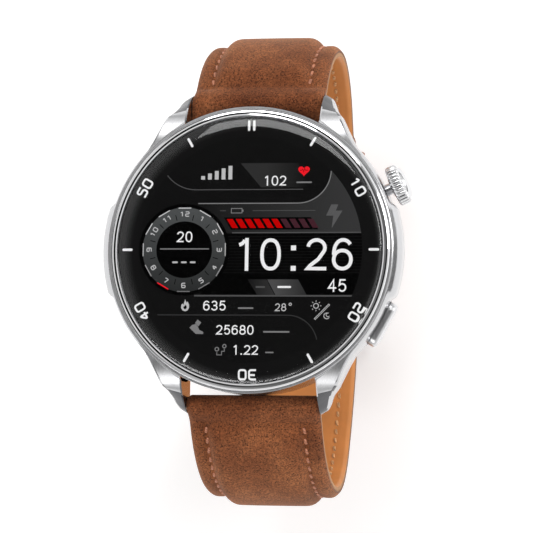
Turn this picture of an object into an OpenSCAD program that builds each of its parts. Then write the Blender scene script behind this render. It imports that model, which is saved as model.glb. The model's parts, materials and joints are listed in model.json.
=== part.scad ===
// Round smartwatch with a crown, a push button and a padded leather strap with a pin buckle.
// Millimetres. Origin: centre of the sensor lens on the case back, which is flat.
// +X is 3 o'clock, +Y is 12 o'clock, +Z is out of the display.

/* [Case] */
// Outer radius of the case
case_r = 24.1; // [24:0.1:24.6]
// Outer radius of the guards at 3 and 9 o'clock
guard_r = 24.8; // [24.6:0.1:25]
// Height of the case's brushed top ring above the case back
case_top = 11.0; // [10.9:0.1:11.2]
// Radius of the groove between the case and the bezel ring
groove_r = 23.1; // [23:0.05:23.2]
// Radius of the round cavity inside the case
cavity_r = 20.4; // [20.3:0.05:20.5]

/* [Display] */
// Radius of the cover glass
glass_r = 21.95; // [21.7:0.05:21.95]
// Radius of the lit display panel
panel_r = 19.6; // [18.8:0.1:19.8]

/* [Crown and button] */
// Angle of the crown from 3 o'clock towards 12 o'clock
crown_angle = 25; // [22:1:30]
// Radius of the knurled crown
crown_r = 3.4; // [3:0.1:3.6]
// Number of flutes around the crown
crown_flutes = 30; // [20:1:36]
// Angle of the button from 3 o'clock towards 6 o'clock
button_angle = 29; // [27:1:32]
// Length of the button along the case side
button_len = 7.8; // [7:0.1:8]
// Height of the button
button_high = 2.8; // [2.4:0.1:3]

/* [Strap] */
// Width of the strap at the lugs
strap_w = 22; // [21.8:0.1:22]
// Width of the strap at the buckle
strap_tail_w = 20; // [19:0.1:20]
// Half of the distance between the two spring bars at the lugs
bar_y = 25.1; // [25:0.1:25.2]
// Height of the spring bars above the case back
bar_z = 4.4; // [4.2:0.1:4.6]
// Radius of the middle of the buckle half around the wrist
upper_r = 46.5; // [46:0.1:47]
// Clearance between the two strap halves where they overlap
overlap_gap = 0.45; // [0.35:0.05:0.6]

/* [Hidden] */
$fn = 64;
side_z = 5.8;                 // height of the crown's and the button's axes
lug_gap = 22.2;               // distance between the lugs' inner faces
lug_in = lug_gap / 2;
floor_z = 2.4;                // top of the back cover inside
case_low = 1.6;               // lowest edge of the case frame
cover_low = 0.8;              // outer face of the back cover
seat_z = 9.8;                 // ledge that holds the glass
ring_seat_z = 10.4;           // ledge that holds the bezel ring
boss_r = 19.3;                // radius of the screw bosses' centres
bush_r = 1.9;                 // outer radius of the crown's bush
stem_r = 0.95;
pin_r = 0.8;
button_bush_r = 1.5;
bar_r = 0.9;                  // radius of the lug spring bars
tip_r = 0.45;
fold_r = 1.75;                // outer radius of the leather fold round a lug bar
recess_r = 2.3;
between_lugs_r = 23.45;        // outer radius of the case between two lugs
half_lug = 1.7;               // half thickness of the strap at the lugs
half_end = 1.1;               // half thickness of the strap at the buckle and tail
lower_r = upper_r + 2 * half_end + overlap_gap;
skin = 0.8;                   // thickness of the leather and of the lining
buckle_bar_r = 0.6;
buckle_fold_r = 1.25;
buckle_at = -85;              // angles about the point midway between the lug bars, 0 at 12 o'clock
tail_end = -54;
fixed_keeper_at = -75.5;
free_keeper_at = -66;
keeper_span = 7.5;
pad_end = -106;
thin_at = -58.5;
turn_at = -51;                // where the big arc of each half meets its shoulder arc
hole_at = -89.4;
hole_step = 8.4;
hole_count = 6;
hole_long = 5;
hole_wide = 2.4;
stitch_inset = 2.6;           // from the strap's edge to the thread rows
front_bar_at = -102.5;

// ---------------------------------------------------------------- helpers

function arc(cx, cy, r, a0, a1, n) =
    [for (i = [0:n]) let (a = a0 + (a1 - a0) * i / n) [cx + r * cos(a), cy + r * sin(a)]];

// A flat ring from z0 to z1
module ring(r_in, r_out, z0, z1) {
    translate([0, 0, z0]) difference() {
        cylinder(r = r_out, h = z1 - z0);
        translate([0, 0, -1]) cylinder(r = r_in, h = z1 - z0 + 2);
    }
}

module disc(r, z0, z1) {
    translate([0, 0, z0]) cylinder(r = r, h = z1 - z0);
}

module block(x, y, z) {
    translate([x[0], y[0], z[0]]) cube([x[1] - x[0], y[1] - y[0], z[1] - z[0]]);
}

// Puts children with +Z pointing out of the case side, with their +Z measured from the case axis
module out_at(angle) {
    rotate([0, 0, angle]) translate([0, 0, side_z]) rotate([0, 90, 0]) children();
}

// Places children at the lug bar of one side, with +Z along +X
module at_bar(side) {
    translate([0, side * bar_y, bar_z]) rotate([0, 90, 0]) children();
}

// A prism along X whose outline is given in the Y-Z plane
module prism_x(points, x0, x1) {
    translate([x0, 0, 0]) rotate([90, 0, 90]) linear_extrude(x1 - x0) polygon(points);
}

function polar(r, a) = [r * cos(a), bar_z + r * sin(a)];

// ---------------------------------------------------------------- strap geometry
// Each half is a shoulder arc that leaves its lug bar level, then one big arc about the midpoint.

function shoulder_r(r) =
    let (dy = r * cos(turn_at) - bar_y, dz = r * sin(turn_at))
    (dy * dy + dz * dz) / (2 * (dy * cos(turn_at) + dz * sin(turn_at)));
function shoulder_c(r) = polar(r - shoulder_r(r), turn_at);
function shoulder_start(r) =
    let (c = shoulder_c(r)) atan2(bar_z - c[1], bar_y - c[0]);

// Point and outward normal of a half's middle line, for the 12 o'clock side: u in 0..1 is the
// shoulder arc and u in 1..2 is the big arc down to the angle last.
function mid(r, last, u) =
    u <= 1
    ? let (s = shoulder_r(r), c = shoulder_c(r), a = shoulder_start(r) * (1 - u) + turn_at * u)
        [c[0] + s * cos(a), c[1] + s * sin(a), cos(a), sin(a)]
    : let (a = turn_at + (last - turn_at) * (u - 1), p = polar(r, a))
        [p[0], p[1], cos(a), sin(a)];

// Big-arc angle at u, which grows from 0 at the bar for the thickness rule
function angle_at(last, u) = u <= 1 ? turn_at : turn_at + (last - turn_at) * (u - 1);

function ease(t) = let (k = min(1, max(0, t))) k * k * (3 - 2 * k);

// Half thickness along a half: full on the shoulder, thin from thin_to onwards
function half_thick(last, thin_to, u) =
    half_lug + (half_end - half_lug) * ease((angle_at(last, u) - turn_at) / (thin_to - turn_at));

// Half width: lug width past the lugs, tail width from the start of the big arc
function half_width(last, tip, u) =
    let (w = strap_w / 2 + (strap_tail_w - strap_w) / 2 * ease((u - 0.45) / 0.9))
    tip == 0 ? w : w * sqrt(max(0.04, 1 - pow(max(0, (u - 2 + tip) / tip), 2.4)));

function inner_edge(h) = max(0.02, h - skin);

// A band that follows a half. low and high give the band's two faces from the half thickness;
// side is 1 for the 12 o'clock half and -1 for the 6 o'clock half.
module band(side, r, last, thin_to, tip, us, kind, x_in = 0) {
    n = len(us);
    rings = [for (u = us)
        let (m = mid(r, last, u),
            h = half_thick(last, thin_to, u),
            w = half_width(last, tip, u),
            lo = kind == "leather" ? inner_edge(h) : kind == "lining" ? -h
                : kind == "padding" ? -inner_edge(h) : h,
            hi = kind == "leather" ? h : kind == "lining" ? -inner_edge(h)
                : kind == "padding" ? inner_edge(h) : h + 0.12,
            x0 = kind == "thread" ? w - x_in - 0.4 : -w,
            x1 = kind == "thread" ? w - x_in : w)
        [for (q = [[x0, lo], [x1, lo], [x1, hi], [x0, hi]])
            [q[0], side * (m[0] + m[2] * q[1]), m[1] + m[3] * q[1]]]];
    points = [for (a = rings) for (p = a) p];
    sides = [for (i = [0:n - 2]) for (k = [0:3])
        let (a = 4 * i + k, b = 4 * i + (k + 1) % 4)
        side > 0 ? [a, b, b + 4, a + 4] : [a, a + 4, b + 4, b]];
    ends = side > 0
        ? [[3, 2, 1, 0], [for (k = [0:3]) 4 * n - 4 + k]]
        : [[0, 1, 2, 3], [for (k = [3:-1:0]) 4 * n - 4 + k]];
    tri = [for (f = concat(sides, ends)) each [[f[0], f[1], f[2]], [f[0], f[2], f[3]]]];
    polyhedron(points, tri);
}

function steps(a, b, n) = [for (i = [0:n]) a + (b - a) * i / n];

upper_last = buckle_at;
lower_last = -180 - tail_end;
tip_u = 0.09;
upper_us = concat(steps(0.001, 1, 16), steps(1.04, 2, 24));
lower_us = concat(steps(0.001, 1, 16), steps(1.02, 1.9, 44), steps(1.91, 1.9999, 9));
function u_of(last, a) = 1 + (a - turn_at) / (last - turn_at);

module upper_band(kind, us, x_in = 0) {
    band(1, upper_r, upper_last, thin_at, 0, us, kind, x_in);
}

module lower_band(kind, us, x_in = 0) {
    band(-1, lower_r, lower_last, -180 - pad_end, tip_u, us, kind, x_in);
}

// Two rows of thread on a half's outer face
module thread_rows(side, us) {
    for (flip = [0, 1]) mirror([flip, 0, 0]) {
        if (side > 0) upper_band("thread", us, stitch_inset);
        else lower_band("thread", us, stitch_inset);
    }
}

// The round fold of leather over a lug bar, and the bar's bore with its lever slot
module lug_fold(side, r_out) {
    at_bar(side) translate([0, 0, -strap_w / 2]) cylinder(r = r_out, h = strap_w);
}

module bar_bore(side) {
    at_bar(side) translate([0, 0, -strap_w]) cylinder(r = bar_r + 0.05, h = 2 * strap_w);
}

// Room for the quick-release lever on the strap's inner side
module lever_slot(side) {
    block([4.4, 8.8], [side * bar_y - 1.1, side * bar_y + 1.1], [bar_z - 4, bar_z]);
}

// ---------------------------------------------------------------- case

module lug_plan() {
    linear_extrude(12)
        polygon([[lug_in, 14], [19.4, 13.4], [17.4, 16.6], [15.4, 20], [13.9, 23.4],
            [13.25, 25.2], [12.5, 26.2], [lug_in, 26.5]]);
}

module lug_side() {
    outline = concat([[12, 2.2], [12, 10.8]], arc(18, 2.3, 8.5, 90, 20, 12),
        [[26.35, 4.4], [26.1, 3.3], [25.2, 2.5], [24.2, 2.2]]);
    prism_x(outline, -27, 27);
}

module lugs() {
    for (flip_x = [0, 1], flip_y = [0, 1])
        mirror([flip_x, 0, 0]) mirror([0, flip_y, 0]) intersection() {
            lug_plan();
            lug_side();
        }
}

module case_wall() {
    rotate_extrude() polygon([[0, case_low], [21.9, case_low], [22.9, 2.4], [23.7, 3.7],
        [case_r, 5.2], [case_r, 9.7], [23.95, 10.4], [23.6, case_top], [0, case_top]]);
}

module guard() {
    rotate([0, 0, -18.5]) rotate_extrude(angle = 37) polygon([[22, 3.0], [23.9, 3.0],
        [guard_r - 0.2, 4.0], [guard_r, 5.2], [guard_r, 9.0], [guard_r - 0.35, 9.9],
        [23.7, 10.5], [22, 10.5]]);
}

module case_frame() {
    color("gainsboro") difference() {
        union() {
            difference() {
                union() {
                    case_wall();
                    guard();
                    rotate([0, 0, 180]) guard();
                    lugs();
                }
                disc(cavity_r, 0, 12);
            }
            for (a = [45:90:315]) rotate([0, 0, a]) translate([boss_r, 0, floor_z])
                cylinder(r = 1.5, h = 2);
        }
        disc(cavity_r + 0.6, 0, floor_z);
        disc(22, seat_z, 12);
        disc(groove_r, ring_seat_z, 12);
        for (side = [-1, 1]) at_bar(side) {
            translate([0, 0, -lug_in]) cylinder(r = recess_r, h = lug_gap);
            translate([0, 0, -lug_in - 1.2]) cylinder(r = 0.5, h = lug_gap + 2.4);
        }
        for (a = [45:90:315]) rotate([0, 0, a]) translate([boss_r, 0, 0])
            cylinder(r = 0.5, h = 5);
        for (side = [-1, 1]) intersection() {
            ring(between_lugs_r, 30, 0, 12);
            translate([-lug_in, side > 0 ? 15 : -30, 0]) cube([lug_gap, 15, 12]);
        }
        out_at(crown_angle) cylinder(r = bush_r, h = 30);
        out_at(-button_angle) {
            cylinder(r = button_bush_r, h = 30);
            translate([0, 0, 23.1]) pill(button_len + 0.3, button_high + 0.3, 5);
        }
        // sound slots at 9 o'clock and the microphone hole
        for (y = [-1.6, 0, 1.6]) block([-27, -19.8], [y - 0.45, y + 0.45], [5.4, 6.6]);
        rotate([0, 0, 218]) translate([19, 0, 6]) rotate([0, 90, 0]) cylinder(r = 0.5, h = 8);
    }
}

// A flat pill along Y, rising along +Z, for the button and its pocket
module pill(len, high, thick) {
    for (s = [-1, 1]) translate([0, s * (len - high) / 2, 0]) cylinder(r = high / 2, h = thick);
    translate([-high / 2, -(len - high) / 2, 0]) cube([high, len - high, thick]);
}

module bezel_ring() {
    color("silver") rotate_extrude() polygon([[22, ring_seat_z], [groove_r, ring_seat_z],
        [groove_r, 11.0], [22.95, 11.22], [22.75, 11.38], [22.5, 11.44], [22.2, 11.4],
        [22, 11.3]]);
}

module cover_glass() {
    color("black") rotate_extrude() polygon([[0, 10], [glass_r, 10], [glass_r, 11.25],
        [glass_r - 0.2, 11.5], [glass_r - 0.6, 11.7], [glass_r - 1.2, 11.8], [0, 11.8]]);
}

module glass_adhesive() { color("dimgray") ring(20.5, 21.8, seat_z, 10); }

module display_panel() { color("midnightblue") disc(panel_r, 9.05, 9.9); }

module display_shield() { color("darkgray") disc(19.2, 8.95, 9.05); }

module display_flex() { color("darkorange") block([-15, -8], [-3, 3], [8.7, 8.95]); }

module inner_frame() {
    color("dimgray") {
        difference() {
            disc(20.2, 7.9, 8.7);
            disc(6, 7, 9);
        }
        difference() {
            rotate([0, 0, 62]) rotate_extrude(angle = 236)
                translate([19.5, 4.6]) square([0.5, 3.4]);
            for (a = [45:90:315]) rotate([0, 0, a]) translate([boss_r, 0, 0])
                cylinder(r = 2, h = 4.7);
            out_mic();
            block([-21, -19], [-3, 3], [4, 7.2]);
        }
    }
}

// Sound path of the microphone through the inner frame
module out_mic() {
    rotate([0, 0, 218]) translate([18, 0, 6]) rotate([0, 90, 0]) cylinder(r = 0.8, h = 4);
}

module antenna() {
    color("goldenrod") rotate([0, 0, 64]) rotate_extrude(angle = 96)
        translate([20.02, 5]) square([0.18, 2.6]);
}

module main_board() {
    color("darkgreen") difference() {
        disc(19.3, 7.1, 7.7);
        block([9.5, 30], [-30, 30], [6, 9]);
        block([-30, -17], [-4, 4], [6, 9]);
    }
}

module shield_can() { color("silver") block([-11, -1], [-9, 9], [6.5, 7.1]); }

module board_chips() {
    color("black") {
        block([0, 4], [2, 7], [6.6, 7.1]);
        block([0, 3], [-3, 0], [6.6, 7.1]);
        block([5, 8], [-6, -3], [6.7, 7.1]);
        block([5, 8], [9, 11], [6.6, 7.1]);
        for (i = [0:4]) block([-10 + 2.4 * i, -9 + 2.4 * i], [12.4, 13], [6.7, 7.1]);
    }
}

module battery() {
    color("silver") block([-12, 8], [-10, 11.5], [2.5, 6.4]);
}

module vibration_motor() {
    color("silver") block([-7, 4], [-17.6, -13.2], [2.6, 6.2]);
}

module speaker() {
    color("black") block([-18.3, -13.6], [-6, 6], [2.6, 6.9]);
}

module speaker_mesh() {
    color("dimgray") block([-19.4, -18.4], [-2.6, 2.6], [4.9, 6.7]);
}

module microphone() {
    color("gold") rotate([0, 0, 218]) block([15.8, 18.2], [-1.4, 1.4], [5.6, 7.0]);
}

module back_cover() {
    color("dimgray") difference() {
        rotate_extrude() polygon([[0, cover_low], [19.6, cover_low], [20.7, 1.3],
            [cavity_r + 0.55, case_low], [cavity_r + 0.55, 2.2], [20.3, 2.2],
            [20.3, floor_z], [0, floor_z]]);
        disc(8.8, 0, 3);
        for (a = [45:90:315]) rotate([0, 0, a]) translate([boss_r, 0, 0]) {
            cylinder(r = 0.5, h = 5);
            cylinder(r = 0.95, h = 1.3);
        }
        for (s = [-1, 1]) {
            translate([s * 3, -13.6, 0]) cylinder(r = 1.1, h = 4);
            translate([s * 8, -13.2, 1.4]) cylinder(r = 1.6, h = 4);
        }
    }
}

module back_gasket() { color("black") ring(20.42, 20.85, 2.2, floor_z); }

module back_screws() {
    color("silver") for (a = [45:90:315]) rotate([0, 0, a]) translate([boss_r, 0, 0])
        difference() {
            union() {
                translate([0, 0, 0.85]) cylinder(r = 0.95, h = 0.45);
                translate([0, 0, 1.3]) cylinder(r = 0.5, h = 2.9);
            }
            translate([0, 0, 0.8]) cylinder(r = 0.4, h = 0.3, $fn = 6);
        }
}

module sensor_lens() {
    color("black") rotate_extrude() polygon([[0, 0], [8.6, 0], [9.6, 0.2], [10.2, cover_low],
        [8.8, cover_low], [8.8, 1.5], [0, 1.5]]);
}

module sensor_board() { color("darkgreen") disc(8.5, 1.95, 2.35); }

module sensor_leds() {
    color("lime") {
        block([-0.6, 0.6], [-0.6, 0.6], [1.55, 1.95]);
        for (a = [0:90:270]) rotate([0, 0, a]) block([5, 6.6], [-0.8, 0.8], [1.55, 1.95]);
    }
}

module light_shroud() { color("black") ring(2.8, 3.4, 1.5, 1.95); }

module charging_contacts() {
    color("gold") for (s = [-1, 1]) translate([s * 3, -13.6, 0.72]) cylinder(r = 1.1, h = 1.68);
}

module charging_magnets() {
    color("silver") for (s = [-1, 1]) translate([s * 8, -13.2, 1.4]) cylinder(r = 1.6, h = 1);
}

// ---------------------------------------------------------------- crown

module crown_bush() { color("silver") out_at(crown_angle) ring(stem_r + 0.05, bush_r, 18.6, 24); }

module crown_switch() {
    color("black") out_at(crown_angle) difference() {
        translate([-2.0, -2.4, 12.2]) cube([4.0, 4.8, 4.0]);
        translate([0, 0, 14]) cylinder(r = 1.55, h = 4);
    }
}

module crown_plunger() {
    color("white") out_at(crown_angle) difference() {
        translate([0, 0, 14.5]) cylinder(r = 1.5, h = 1.7);
        translate([0, 0, 15.2]) cylinder(r = stem_r + 0.05, h = 2);
    }
}

module crown_cap() {
    color("silver") out_at(crown_angle) difference() {
        union() {
            translate([0, 0, 24.85]) cylinder(r = 1.6, h = 0.7);
            rotate_extrude() polygon([[0, 25.4], [crown_r - 0.25, 25.4], [crown_r, 25.65],
                [crown_r, 27.1], [crown_r - 0.3, 27.45], [2.9, 27.5], [2.6, 27.85],
                [1.6, 28.15], [0, 28.2]]);
        }
        translate([0, 0, 24]) cylinder(r = stem_r, h = 2.6);
        for (i = [0:crown_flutes - 1]) rotate([0, 0, 360 / crown_flutes * i])
            translate([crown_r + 0.05, 0, 25]) cylinder(r = 0.22, h = 3);
    }
}

module crown_stem() {
    color("silver") out_at(crown_angle) rotate_extrude() polygon([[0, 15.3], [stem_r, 15.3],
        [stem_r, 18.2], [0.6, 18.2], [0.6, 18.55], [stem_r, 18.55], [stem_r, 20.6],
        [0.55, 20.6], [0.55, 21.2], [stem_r, 21.2], [stem_r, 22.2], [0.55, 22.2],
        [0.55, 22.8], [stem_r, 22.8], [stem_r, 26.6], [0, 26.6]]);
}

module crown_seals() {
    color("black") out_at(crown_angle) for (z = [20.9, 22.5]) translate([0, 0, z])
        rotate_extrude() translate([0.77, 0]) circle(r = 0.21);
}

module crown_clip() { color("gray") out_at(crown_angle) ring(0.6, 1.7, 18.2, 18.5); }

// ---------------------------------------------------------------- button

module button_bush() {
    color("silver") out_at(-button_angle) ring(pin_r + 0.05, button_bush_r, 18.9, 23.1);
}

module button_switch() {
    color("black") out_at(-button_angle) translate([-1.6, -2, 13.6]) cube([3.2, 4, 2.2]);
}

module button_cap() {
    color("silver") out_at(-button_angle) difference() {
        union() {
            translate([0, 0, 23.6]) pill(button_len, button_high, 1.55);
            translate([0, 0, 25.1]) pill(button_len - 0.5, button_high - 0.5, 0.3);
        }
        translate([0, 0, 23]) cylinder(r = pin_r, h = 1.6);
    }
}

module button_pin() {
    color("silver") out_at(-button_angle) rotate_extrude() polygon([[0, 16.3], [pin_r, 16.3],
        [pin_r, 18.5], [0.5, 18.5], [0.5, 18.85], [pin_r, 18.85], [pin_r, 20.6],
        [0.45, 20.6], [0.45, 21.1], [pin_r, 21.1], [pin_r, 24.6], [0, 24.6]]);
}

module button_seals() {
    color("black") out_at(-button_angle) translate([0, 0, 20.85])
        rotate_extrude() translate([0.64, 0]) circle(r = 0.19);
}

module button_clip() { color("gray") out_at(-button_angle) ring(0.5, 1.4, 18.5, 18.8); }

// ---------------------------------------------------------------- strap, 12 o'clock half

module buckle_axis() {
    p = polar(upper_r, buckle_at);
    translate([0, p[0], p[1]]) rotate([0, 90, 0]) children();
}

module upper_leather() {
    color("saddlebrown") difference() {
        union() {
            upper_band("leather", upper_us);
            lug_fold(1, fold_r);
            buckle_axis() translate([0, 0, -strap_tail_w / 2])
                cylinder(r = buckle_fold_r, h = strap_tail_w);
        }
        bar_bore(1);
        lever_slot(1);
        buckle_axis() translate([0, 0, -20]) cylinder(r = buckle_bar_r, h = 40);
        buckle_axis() translate([0, 0, -1.5]) cylinder(r = 2, h = 3);
    }
}

module upper_clear() {
    difference() {
        children();
        at_bar(1) translate([0, 0, -20]) cylinder(r = fold_r, h = 40);
        lever_slot(1);
        buckle_axis() translate([0, 0, -20]) cylinder(r = buckle_fold_r, h = 40);
        buckle_axis() translate([0, 0, -1.5]) cylinder(r = 2, h = 3);
    }
}

module upper_padding() {
    color("tan") upper_clear()
        upper_band("padding", [for (u = upper_us) if (u < 1.96) u]);
}

module upper_lining() { color("peru") upper_clear() upper_band("lining", upper_us); }

module upper_thread() {
    color("sienna") thread_rows(1, [for (u = upper_us) if (u > 0.28 && u < 1.55) u]);
}

module keeper(at) {
    r_in = upper_r - half_end - 0.3;
    r_out = lower_r + half_end + 0.3;
    translate([0, 0, bar_z]) rotate([90, 0, 90]) rotate([0, 0, at - keeper_span / 2])
        rotate_extrude(angle = keeper_span) difference() {
            translate([r_in - 1.1, -11.4]) square([r_out - r_in + 2.2, 22.8]);
            translate([r_in, -10.35]) square([r_out - r_in, 20.7]);
        }
}

module fixed_keeper() { color("saddlebrown") keeper(fixed_keeper_at); }

module free_keeper() { color("saddlebrown") keeper(free_keeper_at); }

// A hollow spring bar with a fixed tip at -X and an open end at +X with a lever slot
module spring_bar(side) {
    color("silver") at_bar(side) difference() {
        union() {
            translate([0, 0, -10.7]) cylinder(r = bar_r, h = 21.4);
            translate([0, 0, -lug_in - 0.9]) cylinder(r = tip_r, h = 2);
        }
        translate([0, 0, -2]) cylinder(r = 0.62, h = 20);
        translate([-0.01, -0.45, 4.8]) cube([3, 0.9, 3.4]);
    }
}

// A coil of round wire inside a spring bar
module bar_spring(side) {
    turns = 5;
    per_turn = 10;
    n = turns * per_turn;
    sides = 6;
    coil = [for (i = [0:n]) let (a = 360 * i / per_turn, z = -1.85 + 5.6 * i / n)
        for (k = [0:sides - 1]) let (b = 360 * k / sides, q = 0.44 + 0.1 * cos(b))
            [q * cos(a), q * sin(a), z + 0.1 * sin(b)]];
    walls = [for (i = [0:n - 1]) for (k = [0:sides - 1])
        let (a = sides * i + k, b = sides * i + (k + 1) % sides)
        each [[a, b, b + sides], [a, b + sides, a + sides]]];
    first = [for (k = [1:sides - 2]) [0, k + 1, k]];
    m = sides * n;
    last = [for (k = [1:sides - 2]) [m, m + k, m + k + 1]];
    color("gray") at_bar(side) polyhedron(coil, concat(walls, first, last));
}

// The sliding tip with its finger lever, which passes the bar's slot
module release_pin(side) {
    color("silver") at_bar(side) {
        translate([0, 0, 4.2]) cylinder(r = 0.58, h = 6.4);
        translate([0, 0, 10.5]) cylinder(r = tip_r, h = 1.5);
        translate([0.2, -0.35, 6.4]) cube([2.7, 0.7, 1.4]);
    }
}

module upper_spring_bar() { spring_bar(1); }

module upper_bar_spring() { bar_spring(1); }

module upper_release_pin() { release_pin(1); }

module buckle_bar() {
    color("silver") buckle_axis() translate([0, 0, -11.6]) cylinder(r = buckle_bar_r, h = 23.2);
}

// ---------------------------------------------------------------- strap, 6 o'clock half

// The row of adjustment holes in the tail
module tail_holes() {
    for (i = [0:hole_count - 1]) translate([0, 0, bar_z])
        rotate([hole_at + hole_step * (i - 2), 0, 0]) rotate([-90, 0, 0])
            translate([0, 0, lower_r - 2.5]) {
                for (s = [-1, 1]) translate([0, s * (hole_long - hole_wide) / 2, 0])
                    cylinder(r = hole_wide / 2, h = 5);
                translate([-hole_wide / 2, (hole_wide - hole_long) / 2, 0])
                    cube([hole_wide, hole_long - hole_wide, 5]);
            }
}

module lower_leather() {
    color("saddlebrown") difference() {
        union() {
            lower_band("leather", lower_us);
            lug_fold(-1, fold_r);
        }
        bar_bore(-1);
        lever_slot(-1);
        tail_holes();
    }
}

module lower_padding() {
    color("tan") difference() {
        lower_band("padding", [for (u = lower_us) if (u < u_of(lower_last, -180 - pad_end) - 0.03) u]);
        at_bar(-1) translate([0, 0, -20]) cylinder(r = fold_r, h = 40);
        lever_slot(-1);
    }
}

module lower_lining() {
    color("peru") difference() {
        lower_band("lining", lower_us);
        at_bar(-1) translate([0, 0, -20]) cylinder(r = fold_r, h = 40);
        lever_slot(-1);
        tail_holes();
    }
}

module lower_thread() {
    last = u_of(lower_last, -180 - pad_end);
    color("sienna") thread_rows(-1, [for (u = lower_us) if (u > 0.28 && u < last) u]);
}

module lower_spring_bar() { spring_bar(-1); }

module lower_bar_spring() { bar_spring(-1); }

module lower_release_pin() { release_pin(-1); }

// ---------------------------------------------------------------- buckle

front_bar_r = lower_r + half_end + 1.3;

module buckle_frame() {
    arm = concat([for (i = [0:6]) polar(upper_r - 1.1 + i * (front_bar_r - upper_r) / 6,
            buckle_at + (front_bar_at - buckle_at) * i / 6)],
        [for (i = [6:-1:0]) polar(upper_r + 1.1 + i * (front_bar_r - upper_r) / 6,
            buckle_at + (front_bar_at - buckle_at) * i / 6)]);
    tip = polar(front_bar_r, front_bar_at);
    color("silver") difference() {
        union() {
            for (s = [-1, 1]) translate([s * 11.2, 0, 0]) {
                prism_x(arm, -0.8, 0.8);
                buckle_axis() translate([0, 0, -0.8]) cylinder(r = 1.2, h = 1.6);
            }
            translate([-12, tip[0], tip[1]]) rotate([0, 90, 0]) cylinder(r = 1.1, h = 24);
        }
        buckle_axis() translate([0, 0, -20]) cylinder(r = buckle_bar_r + 0.05, h = 40);
        translate([0, 0, bar_z]) rotate([90, 0, 90]) rotate([0, 0, front_bar_at - 4])
            rotate_extrude(angle = 8) translate([front_bar_r + 0.45, -1.3]) square([3, 2.6]);
    }
}

module buckle_tongue() {
    top_r = front_bar_r + 1.05;
    path = [[upper_r + 0.5, hole_at + 3.2], [upper_r + 1.6, hole_at + 1.5], [lower_r, hole_at],
        [lower_r + 1.3, hole_at - 1.7], [top_r - 0.6, hole_at - 4.6], [top_r, hole_at - 8.1],
        [top_r + 0.05, front_bar_at - 1.8]];
    thick = [0.35, 0.5, 0.5, 0.5, 0.5, 0.5, 0.4];
    bend = [0.7, 0.7, 0.7, 0.55, 0.3, 0.1, 0];
    low = [for (i = [0:6]) polar(path[i][0] - thick[i] * (1 - bend[i] * 0.3),
        path[i][1] - thick[i] * bend[i] * 1.4)];
    high = [for (i = [6:-1:0]) polar(path[i][0] + thick[i] * (1 - bend[i] * 0.3),
        path[i][1] + thick[i] * bend[i] * 1.4)];
    color("silver") difference() {
        union() {
            prism_x(concat(low, high), -0.9, 0.9);
            buckle_axis() translate([0, 0, -1.2]) cylinder(r = 1.15, h = 2.4);
        }
        buckle_axis() translate([0, 0, -20]) cylinder(r = buckle_bar_r + 0.05, h = 40);
    }
}

// ---------------------------------------------------------------- one line per node
case_frame();
bezel_ring();
cover_glass();
glass_adhesive();
display_panel();
display_shield();
display_flex();
inner_frame();
antenna();
main_board();
shield_can();
board_chips();
battery();
vibration_motor();
speaker();
speaker_mesh();
microphone();
back_cover();
back_gasket();
back_screws();
sensor_lens();
sensor_board();
sensor_leds();
light_shroud();
charging_contacts();
charging_magnets();
crown_bush();
crown_switch();
button_bush();
button_switch();
crown_plunger();
crown_cap();
crown_stem();
crown_seals();
crown_clip();
button_cap();
button_pin();
button_seals();
button_clip();
upper_leather();
upper_padding();
upper_lining();
upper_thread();
fixed_keeper();
upper_spring_bar();
upper_bar_spring();
upper_release_pin();
buckle_bar();
lower_leather();
lower_padding();
lower_lining();
lower_thread();
lower_spring_bar();
lower_bar_spring();
lower_release_pin();
buckle_frame();
buckle_tongue();
free_keeper();
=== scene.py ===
import json
import math
import random
from math import cos, hypot, pi, radians, sin, sqrt

import bmesh
import bpy
from mathutils import Matrix, Vector


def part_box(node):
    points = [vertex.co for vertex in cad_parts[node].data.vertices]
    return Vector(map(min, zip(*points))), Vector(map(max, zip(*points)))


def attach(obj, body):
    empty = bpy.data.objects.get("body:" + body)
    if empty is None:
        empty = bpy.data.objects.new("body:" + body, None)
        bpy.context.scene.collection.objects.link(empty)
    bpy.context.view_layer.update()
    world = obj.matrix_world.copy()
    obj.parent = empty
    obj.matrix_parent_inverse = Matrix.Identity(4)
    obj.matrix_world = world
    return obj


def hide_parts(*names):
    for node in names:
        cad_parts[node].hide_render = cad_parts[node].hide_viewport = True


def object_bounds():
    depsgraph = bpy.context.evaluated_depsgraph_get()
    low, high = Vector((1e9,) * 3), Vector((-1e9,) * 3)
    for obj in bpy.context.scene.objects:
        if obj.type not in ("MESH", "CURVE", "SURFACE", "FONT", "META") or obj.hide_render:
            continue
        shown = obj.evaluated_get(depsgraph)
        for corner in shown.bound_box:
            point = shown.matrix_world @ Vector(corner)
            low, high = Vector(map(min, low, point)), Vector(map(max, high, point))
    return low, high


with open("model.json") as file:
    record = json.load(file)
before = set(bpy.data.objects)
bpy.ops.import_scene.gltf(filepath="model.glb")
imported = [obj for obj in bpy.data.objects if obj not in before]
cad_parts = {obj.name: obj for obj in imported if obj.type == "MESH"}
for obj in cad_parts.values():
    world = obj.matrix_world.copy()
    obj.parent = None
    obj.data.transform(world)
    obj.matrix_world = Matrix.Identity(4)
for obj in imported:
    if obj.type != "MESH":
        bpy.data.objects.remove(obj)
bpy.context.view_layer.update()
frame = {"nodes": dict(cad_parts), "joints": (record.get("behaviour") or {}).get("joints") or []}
MM = 0.001
JOINTS = {j["name"]: j for j in frame["joints"]}

# ------------------------------------------------------------------ sizes from the frame, in millimetres


def node_box(node):
    lo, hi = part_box(node)
    return [v / MM for v in lo], [v / MM for v in hi]


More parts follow.
